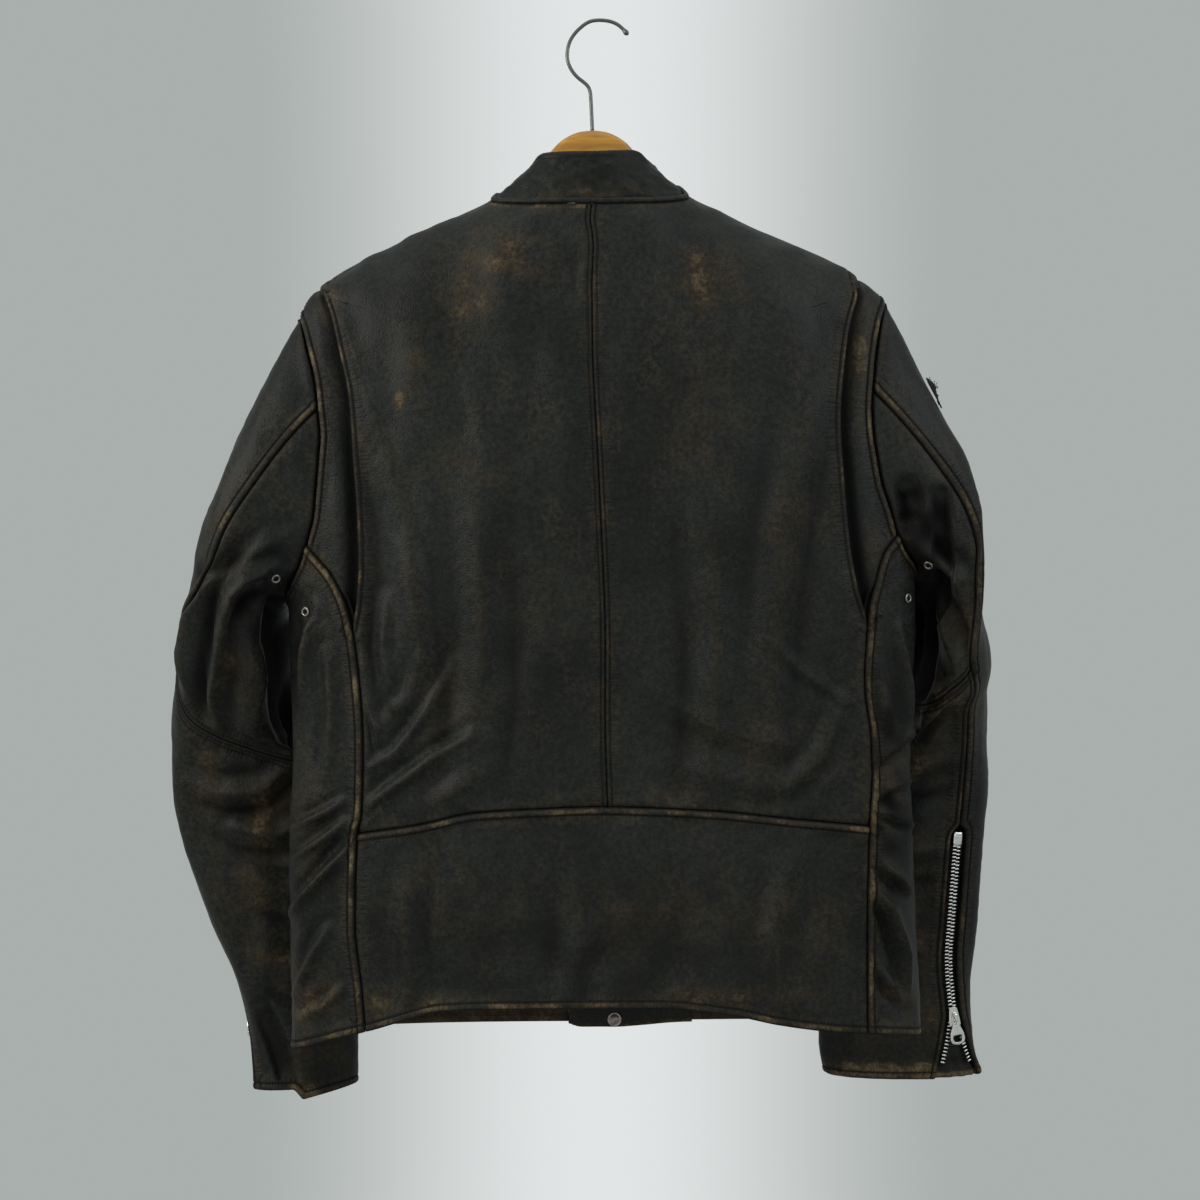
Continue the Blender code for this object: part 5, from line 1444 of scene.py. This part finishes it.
def top_stop(side):
    """The block of metal that closes the top of a cuff's teeth."""
    rows = np.linspace(ZIP_TOP - 0.2, ZIP_TOP + 0.03, 9)
    centre, out = cuff_line(side, rows, 0.0, TEETH_LEVEL)
    across = unit(np.cross(np.gradient(centre, axis=0), out))
    size = 1 - 0.25 * np.abs(np.linspace(-1, 1, 9)) ** 6
    angle = np.linspace(0, 360, 20, endpoint=False)
    c, s = squared(angle, 6.0)
    rings = [middle + wide * 4.1 * share * c[:, None] + up * 1.1 * share * s[:, None]
             for middle, wide, up, share in zip(centre, across, out, size)]
    put(swept(f"cuff_top_stop_{side}", rings, LOOKS["nickel"]))


def cuff_gusset(side):
    """The soft wedge that shows between the parted ends of the zip."""
    rows = np.linspace(ZIP_SLIDER - 0.5, SLEEVE_END, 41)[:, None]
    lean = CUFF_LEAN[side] / 2
    wide = 5 + (CUFF_SPREAD[side] + lean + 3) * below_slider(side, rows)
    across = np.linspace(-1, 1, 21)[None, :] * wide + lean * below_slider(side, rows)
    rows, across = np.broadcast_arrays(rows, across)
    face, out = cuff_line(side, rows, across, TAPE_LEVEL - 1.0 - LAYER_GAP)
    raised = (1.5 + LAYER_GAP) * ease((rows - SLEEVE_END + 0.5) / 0.25)
    pucker = 0.8 * np.cos(across / CUFF_SPREAD[side] * 9) * ease((rows - ZIP_SLIDER) / 1.5) - 0.8
    face = face + out * (pucker + raised)[..., None]
    low = from_edges(face)["low"]
    face = face + out * 0.8 * seam_lift("hem", low)[..., None]
    wear = 0.12 + 1.3 * np.exp(-((low - 2.6) / 2.8) ** 2)
    # Painted shade: the recessed wedge darkens about 14 mm above its hem, under the zip's parted ends.
    piece = wall(f"cuff_gusset_{side}_leather", face, face - out * 1.2, LOOKS["leather"],
                 wear=wear, hollow=0.5 * np.exp(-((low - 14) / 8) ** 2))
    dress(piece, flat_size(face))


def front_zip():
    """The two halves of the front zip, closed to the neck."""
    z = np.linspace(-244, -826, 241)
    out = np.broadcast_to((0.0, 1.0, 0.0), (241, 3))
    profile = ((0.3, 0.25), (1.6, 0.45), (3.4, 0.1), (5.0, 0.0), (ZIP_HALF, 0.0))
    for label, way in (("left", -1), ("right", 1)):
        zip_half(f"front_zip_{label}", lambda a, level: body_point(180.0, z) + (a, level, 0),
                 profile, 1.9, out, way)


def slider_frame(name):
    """Where a slider sits: its centre, and its across, ahead and out ways."""
    if name == "front_zip":
        here, after = body_point(180.0, np.array([-258, -268])) + (0, SLIDER_LEVEL, 0)
        out = np.array((0.0, 1.0, 0.0))
    else:
        side = name.rsplit("_", 1)[1]
        row = ZIP_SLIDER
        here, after = cuff_line(side, np.array([row, row + 0.3]), 0.0, SLIDER_LEVEL)[0]
        out = cuff_line(side, row, 0.0, 1.0)[1]
    ahead = unit(after - here)
    out = unit(out - ahead * np.dot(out, ahead))
    return here, np.cross(ahead, out), ahead, out


def extruded(name, outlines, low, high, place, finish, bevel):
    """A plate of one outline with holes, from its level low to high, with softened edges."""
    curve = bpy.data.curves.new(name, "CURVE")
    curve.dimensions = "2D"
    curve.fill_mode = "BOTH"
    curve.extrude = (high - low) / 2 - bevel
    curve.bevel_depth = bevel
    curve.bevel_resolution = 2
    curve.offset = -bevel
    for outline in outlines:
        spline = curve.splines.new("POLY")
        spline.points.add(len(outline) - 1)
        for point, (a, d) in zip(spline.points, outline):
            point.co = (a, d, 0, 1)
        spline.use_cyclic_u = True
    shape = linked(name, curve)
    plain = bpy.data.meshes.new_from_object(shape.evaluated_get(bpy.context.evaluated_depsgraph_get()))
    bpy.data.objects.remove(shape, do_unlink=True)
    middle = (low + high) / 2
    points = [place(v.co[0], v.co[1], v.co[2] + middle) for v in plain.vertices]
    faces = [list(face.vertices) for face in plain.polygons]
    bpy.data.meshes.remove(plain)
    piece = outward_faces(mesh_object(name, points, faces, finish), merge=0.00002)
    piece.data.set_sharp_from_angle(angle=math.radians(35))
    return piece


def rounded(points, steps=4, pull=0.28):
    """An outline with its corners rounded off."""
    points = np.array(points, float)
    found = []
    for k in range(len(points)):
        before, here, after = points[k - 1], points[k], points[(k + 1) % len(points)]
        start, end = here + (before - here) * pull, here + (after - here) * pull
        for t in np.linspace(0, 1, steps):
            found.append((1 - t) ** 2 * start + 2 * t * (1 - t) * here + t * t * end)
    return found


def mirrored(*half):
    """The points of one half of an outline, followed by those of its mirror image."""
    return list(half) + [(-a, d) for a, d in half[::-1]]


def joined(name, pieces):
    """Several objects as one."""
    body = bmesh.new()
    for piece in pieces:
        body.from_mesh(piece.data)
    finish = pieces[0].data.materials[0]
    for piece in pieces:
        bpy.data.objects.remove(piece, do_unlink=True)
    mesh = bpy.data.meshes.new(name)
    body.to_mesh(mesh)
    body.free()
    mesh.materials.append(finish)
    return linked(name, mesh)


def slider_and_pull(name, body):
    """A slider with its bridge, and the pull that hangs from the bridge."""
    centre, across, ahead, out = slider_frame(name)

    def place(a, d, h):
        return centre + across * a + ahead * d + out * h

    shield = mirrored((-5.3, 8.0), (-4.6, 0.0), (-3.7, -6.4), (-2.4, -8.5)) + [(0, 6.4)]
    plate = extruded(name + "_plate", [rounded(shield)], 0.4, 1.5, place, LOOKS["nickel"], 0.25)
    arch = (mirrored((-4.4, 1.2), (-4.1, 4.6), (-2.8, 6.0))
            + mirrored((2.9, 1.2), (2.8, 4.1), (2.2, 4.8)))
    bridge = extruded(name + "_arch", [rounded(arch)], -1.1, 1.1,
                      lambda d, h, a: place(a, d, h), LOOKS["nickel"], 0.25)
    put(joined(name + "_slider_metal", [plate, bridge]), name + "_slider")
    half = ((2.6, -0.85), (3.0, 2.0), (3.0, 7.4), (4.6, 10.0), (6.0, 14.0), (6.6, 18.5), (5.6, 22.2))
    outer = half + ((0.0, PULL_LOW),) + tuple((-a, d) for a, d in half[::-1])
    eye = mirrored((-1.5, 0.85), (-1.7, 6.6))
    dee = mirrored((-3.7, 15.4), (-4.3, 18.2), (-3.0, 20.8), (-1.2, 21.6))
    pull = extruded(name + "_pull_metal", [rounded(outline) for outline in (outer, eye, dee)],
                    EYE - 0.8, EYE + 0.8, place, LOOKS["nickel"], 0.35)
    put(pull, name + "_pull", body)


# ---- small pieces ----

def rim(name, centre, out, radius, thick, finish):
    """A ring that lies on a surface, such as an eyelet."""
    out = unit(np.asarray(out, float))
    side = unit(np.cross(out, (0.2, 0.1, 1)))
    other = np.cross(out, side)
    rings = []
    for angle in np.radians(np.arange(0, 360, 10)):
        way = np.cos(angle) * side + np.sin(angle) * other
        turn = np.radians(np.arange(0, 360, 30))[:, None]
        rings.append(centre + way * radius + thick * (np.cos(turn) * way + 0.8 * np.sin(turn) * out))
    return swept(name, rings, finish, closed=True)


def eyelets():
    """The four vent eyelets under the arms, each a ring round a near-black ring of painted shade in its
    hole.
    """
    for side, (on_body, on_sleeve) in EYELETS.items():
        places = (("side", BODY_FORM, on_body), ("sleeve", SLEEVE_FORM[side], on_sleeve))
        for label, form, (first, second) in places:
            out = outward(form, first, second)
            centre = form[0](first, second) + out * (EYELET_STAND[label] - 0.5)
            name = f"eyelet_{label}_{side}"
            ring = rim(name + "_ring", centre, out, EYELET_RADIUS, EYELET_WIRE, LOOKS["dull_nickel"])
            hole = rim(name + "_hole", centre - out * 0.5, out, EYELET_RADIUS * 0.42, EYELET_RADIUS * 0.41,
                       LOOKS["hole"])
            put(ring, name)
            put(hole)


def front_snap():
    """The domed cap of the tab's snap."""
    centre = body_point(TAB_START - 0.375 * TAB_REACH - 360, TAB_HEM)
    centre = centre + (0, -TAB_STAND - LEATHER - 0.3, 6.5)
    rings = []
    angle = np.linspace(0, 2 * np.pi, 40, endpoint=False)
    for radius, level in ((6.0, -0.2), (6.2, 0.3), (6.0, 0.9), (5.4, 1.2), (5.0, 1.0), (4.6, 1.1),
                          (3.4, 1.9), (2.0, 2.4), (0.6, 2.6)):
        ring = np.stack([np.cos(angle) * radius, np.full(40, -level), np.sin(angle) * radius], -1)
        rings.append(centre + ring)
    put(swept("front_snap_cap", rings, LOOKS["dull_nickel"]), "front_snap")


def frayed_bit():
    """A torn flap of leather, and the threads that stand out of the tear."""
    angle, row = np.meshgrid(np.linspace(30.0, 23.0, 9), np.linspace(0.98, 1.14, 33))
    out = outward(SLEEVE_FORM["right"], angle, row)
    u, v = np.meshgrid(np.linspace(0, 1, 9), np.linspace(0, 1, 33))
    stand = 0.7 + 3.6 * u * np.exp(-((v - 0.38) / 0.2) ** 2) + 1.3 * u * np.exp(-((v - 0.72) / 0.1) ** 2)
    stand = stand + 0.5 * u * waves(np.stack([u * 9, v * 40, v * 0], -1), 5, 3)
    face = sleeve_point("right", angle, row) + out * stand[..., None]
    wear = np.clip(0.9 * u - 0.2, 0, 1)
    flap = wall("frayed_bit_flap", face, face - out * 0.9, LOOKS["torn"], wear=wear, hollow=wear * 0)
    put(flap, "frayed_bit")
    chance = np.random.default_rng(8)
    threads = []
    for k in range(11):
        start = face[int(chance.integers(5, 28)), 8]
        way = unit(out[12, 8] + chance.normal(size=3) * 0.8)
        bend = chance.normal(size=3) * 0.9
        t = np.linspace(0, 1, 8)[:, None]
        path = start + way * t * chance.uniform(1, 3) + bend * t * t
        threads.append(swept(f"thread_{k}", wire_rings(path, 0.25, 5), LOOKS["torn"]))
    put(joined("frayed_threads", threads))


# ---- the hanger ----

def shoulder_height(x):
    """Height of the jacket's shoulder line at a distance to either side."""
    side = "left" if x < 0 else "right"
    z = np.linspace(-140, -240, 400)
    return float(np.interp(abs(x), abs(along(BODY, side, z)), z))


def hanger_top(away):
    """Height of the hanger's top edge at a distance from its middle."""
    if away < HANGER_ARM:
        return float(along(HANGER_NECK, "z", away))
    both = [shoulder_height(HANGER_MIDDLE + way * away) for way in (-1, 1)]
    return min(both) - LEATHER / np.cos(np.radians(SHOULDER_SLOPE)) - 2.1


def hanger():
    """The shaped wooden bar, whose arms follow the underside of the shoulders."""
    half = HANGER_THICK / 2
    aways = np.linspace(-HANGER_REACH, HANGER_REACH, 141)
    tops = np.array([hanger_top(abs(away)) for away in aways])
    soft = np.convolve(np.pad(tops, 2, mode="edge"), np.ones(5) / 5, "valid")
    tops = np.where(abs(aways) > 30, np.minimum(soft, tops + 0.4), tops)
    rings = []
    for away, top in zip(aways, tops):
        deep = 34 - 14 * float(ease((abs(away) - 60) / 140))
        end = 1 - 0.3 * float(ease((abs(away) - HANGER_REACH + 8) / 8))
        angle = np.linspace(0, 2 * np.pi, 28, endpoint=False)
        c, s = squared(np.degrees(angle), 4.0)
        rings.append(np.stack([np.full(28, HANGER_MIDDLE + away), half * end * c,
                               top - deep / 2 + deep / 2 * end * s], -1))
    put(swept("shaped_hanger", rings, LOOKS["wood"]), "hanger_body")


def hook():
    """The bent wire, with a ball at its tip."""
    x, z = HOOK["x"], HOOK["z"]
    run = run_of(np.stack([x, z], -1))
    at = np.linspace(0, run[-1], 180)
    path = np.stack([along(table("run x", *zip(run, x)), "x", at), np.zeros(180),
                     along(table("run z", *zip(run, z)), "z", at)], -1)
    for k in (0, 2):
        longer = np.pad(path[:, k], 5, mode="reflect", reflect_type="odd")
        path[:, k] = np.convolve(longer, np.ones(11) / 11, "valid")
    ball = 1 + 0.5 * np.exp(-((at - 2.5) / 2.2) ** 2)
    start = 1 - 0.6 * np.exp(-(at / 0.8) ** 2)
    wire = swept("hook_wire", wire_rings(path, WIRE * ball * start, 16), LOOKS["wire"])
    put(wire, "hanger_hook")


# ---- stitches and teeth ----

def repeated(name, lines, spacing, seed_piece, finish, ways=None):
    """Copies of a small piece, evenly spaced along lines and turned to follow them."""
    points, edges, outs = [], [], []
    for number, line in enumerate(lines):
        start = len(points)
        points += (np.asarray(line) * MM).tolist()
        edges += [(start + k, start + k + 1) for k in range(len(line) - 1)]
        outs += list(ways[number]) if ways else [(0.0, 0.0, 1.0)] * len(line)
    mesh = bpy.data.meshes.new(name)
    mesh.from_pydata(points, edges, [])
    stored = mesh.attributes.new("out", "FLOAT_VECTOR", "POINT")
    stored.data.foreach_set("vector", np.asarray(outs, np.float32).reshape(-1))
    carrier = linked(name, mesh)
    group = bpy.data.node_groups.new(name + "_layout", "GeometryNodeTree")
    for label, way, kind in (("Geometry", "INPUT", "Geometry"), ("Spacing", "INPUT", "Float"),
                             ("Unit", "INPUT", "Object"), ("Finish", "INPUT", "Material"),
                             ("Geometry", "OUTPUT", "Geometry")):
        group.interface.new_socket(label, in_out=way, socket_type="NodeSocket" + kind)
    given = node(group, "NodeGroupInput", None).outputs
    path = node(group, "GeometryNodeMeshToCurve", n0=given["Geometry"])
    marks = node(group, "GeometryNodeResampleCurve", 0, {"mode": "LENGTH"}, Curve=path,
                 Length=given["Spacing"])
    outward_way = node(group, "GeometryNodeInputNamedAttribute", 0, {"data_type": "FLOAT_VECTOR"},
                       Name="out")
    upright = node(group, "FunctionNodeAlignRotationToVector", 0, {"axis": "Z"}, Vector=outward_way)
    turned = node(group, "FunctionNodeAlignRotationToVector", 0, {"axis": "X", "pivot_axis": "Z"},
                  Rotation=upright, Vector=node(group, "GeometryNodeInputTangent"))
    shape = node(group, "GeometryNodeObjectInfo", "Geometry", Object=given["Unit"], As_Instance=True)
    copies = node(group, "GeometryNodeInstanceOnPoints", Points=marks, Instance=shape, Rotation=turned)
    solid = node(group, "GeometryNodeRealizeInstances", n0=copies)
    painted = node(group, "GeometryNodeSetMaterial", Geometry=solid, Material=given["Finish"])
    node(group, "NodeGroupOutput", None, n0=painted)
    layout = carrier.modifiers.new("Layout", "NODES")
    layout.node_group = group
    settings = {"Spacing": spacing * MM, "Unit": seed_piece, "Finish": finish}
    for item in group.interface.items_tree:
        if item.in_out == "INPUT" and item.name in settings:
            layout[item.identifier] = settings[item.name]
    bpy.context.view_layer.update()
    baked = bpy.data.meshes.new_from_object(carrier.evaluated_get(bpy.context.evaluated_depsgraph_get()))
    bpy.data.objects.remove(carrier, do_unlink=True)
    bpy.data.node_groups.remove(group)
    baked.name = name
    if not baked.materials:
        baked.materials.append(finish)
    return linked(name, baked)


def stitches():
    """A short thread bead every 3 mm along each seam line."""
    spine = [(0, 0, z) for z in (-1.15, -0.75, 0, 0.75, 1.15)]
    bead = swept("stitch_bead", wire_rings(spine, (0.12, 0.3, 0.36, 0.3, 0.12), 5), LOOKS["thread"])
    turned = bead.data
    for v in turned.vertices:
        x, y, z = v.co
        v.co = (z, y, x * 0.8)
    for name, lines in STITCHES:
        lines = [line for line in lines if len(line) > 3]
        if not lines:
            continue
        rows = repeated(name.removesuffix("_leather") + "_stitches", lines, STITCH_STEP, bead,
                        LOOKS["thread"])
        put(rows)
    bpy.data.objects.remove(bead, do_unlink=True)


def zip_tooth(size):
    """One tooth: a rounded block clamped on the tape's cord, with a nib that meets its mate."""
    half, wide, tall = 0.17 * size, 0.66 * size, 0.85
    block = ((-1, -0.7), (-0.7, -1), (0.7, -1), (1, -0.7), (1, 0.7), (0.7, 1), (-0.7, 1), (-1, 0.7))
    rings = []
    for across, thick, high in ((-wide, half * 0.9, tall * 0.8), (-wide * 0.8, half * 1.25, tall),
                                (wide * 0.25, half * 1.25, tall), (wide * 0.5, half, tall * 0.9),
                                (wide, half * 0.75, tall * 0.72)):
        rings.append([(a * thick, across, h * high) for a, h in block])
    return swept("zip_tooth", rings, LOOKS["nickel"])


def teeth():
    """A tooth at each step along every tape, the two tapes of a zip half a step apart."""
    for name, line, out, start in TEETH_ROWS:
        tooth = zip_tooth(TOOTH_STEP)
        run = run_of(line)
        at = np.arange(start * TOOTH_STEP, run[-1], TOOTH_STEP / 2)
        line = np.stack([np.interp(at, run, line[:, k]) for k in range(3)], -1)
        out = np.stack([np.interp(at, run, out[:, k]) for k in range(3)], -1)
        row = repeated(name, [line], TOOTH_STEP, tooth, LOOKS["nickel"], [out])
        bpy.data.objects.remove(tooth, do_unlink=True)
        put(row)


# ---- light and camera ----

def area_light(name, place, aim, size, power, colour):
    """A soft oblong light that is turned towards a point."""
    light = bpy.data.lights.new(name, "AREA")
    light.shape = "RECTANGLE"
    light.size, light.size_y = size
    light.energy = power
    light.color = srgb(colour)[:3]
    lamp = linked(name, light)
    lamp.location = place
    lamp.rotation_euler = (Vector(aim) - Vector(place)).to_track_quat("-Z", "Y").to_euler()


def set_world():
    """A pale grey surround, with a painted pool of light in the middle behind the jacket."""
    world = bpy.data.worlds.new("pale_grey_room")
    world.use_nodes = True
    bpy.context.scene.world = world
    tree = world.node_tree
    way = node(tree, "SeparateXYZ", None, Vector=node(tree, "TexCoord", "Generated")).outputs
    across = node(tree, "Math", 0, {"operation": "ABSOLUTE"}, n0=way["X"])
    # Painted light: a brighter band in the middle of the backdrop stands for light falling on the wall
    # behind the jacket.
    painted_glow = node(tree, "MapRange", 0, {"interpolation_type": "SMOOTHSTEP"}, n0=across, n1=0.0, n2=0.17,
                n3=1.0, n4=0.0)
    shown = node(tree, "Mix", 2, COLOURS, n0=painted_glow, n6=srgb("A9AFAD"), n7=srgb("E2E5E5"))
    backdrop = node(tree, "Background", Color=shown, Strength=1.0)
    light = node(tree, "Background", Color=srgb("C4C9CC"), Strength=WORLD_LIGHT)
    rays = node(tree, "LightPath", None).outputs
    seen = node(tree, "Math", 0, PLUS, n0=rays["Is Camera Ray"], n1=rays["Is Glossy Ray"])
    seen = node(tree, "Math", 0, dict(PLUS, use_clamp=True), n0=seen, n1=rays["Is Transmission Ray"])
    room = node(tree, "MixShader", n0=seen, n1=light, n2=backdrop)
    tree.links.new(room, tree.nodes["World Output"].inputs["Surface"])


def set_floor():
    """A plain pale floor, well below the hanging jacket."""
    half, level = 1200.0, -1450.0
    corners = [(-half, -half, level), (half, -half, level), (half, half, level), (-half, half, level)]
    finish = small_skin("painted_floor", "C9CCCB", 0.7, "C2C5C4")
    floor = mesh_object("pale_floor", corners, [(0, 1, 2, 3)], finish)


def set_camera():
    """A level camera straight behind the wearer."""
    scene = bpy.context.scene
    scene.view_settings.view_transform = "Standard"
    camera = bpy.data.cameras.new("front_camera")
    camera.sensor_width = 36.0
    camera.lens = CAMERA_LENS
    held = linked("front_camera", camera)
    held.location = CAMERA_PLACE
    held.rotation_euler = (math.radians(90), 0, 0)
    scene.camera = held


def set_lights():
    """Two soft windows from high at the sides, a ceiling light and a weak fill from below."""
    area_light("high_left_window", (-1.6, -0.9, 0.3), (0, 0, -0.45), (1.0, 1.0), 18, "FFFDF8")
    area_light("high_right_window", (1.5, -0.9, 0.45), (0, 0, -0.45), (1.0, 1.0), 9.5, "F6FAFF")
    area_light("overhead", (0.0, -0.3, 1.3), (0, 0, -0.4), (2.2, 1.4), 7, "FFFFFF")
    area_light("low_front", (0.0, -2.6, -0.9), (0, 0, -0.6), (2.4, 1.2), 2.5, "FFF8F0")


# ---- everything ----

def jacket():
    """Every piece of the jacket, with its stitches and teeth last."""
    back_waist_panel()
    for side in SIDES:
        back(side)
        back_pleat(side)
        side_panel(side)
        seam_turnings(side)
        front(side)
        hem_facing(side)
        sleeve(side)
        cuff_zip(side)
        top_stop(side)
        cuff_gusset(side)
        slider_and_pull(f"cuff_zip_{side}", f"cuff_pull_{side}")
    front_zip()
    slider_and_pull("front_zip", "front_pull")
    collar()
    hem_tab()
    front_snap()
    eyelets()
    frayed_bit()
    stitches()
    teeth()


jacket()
hanger()
hook()
set_floor()
set_camera()
set_world()
set_lights()
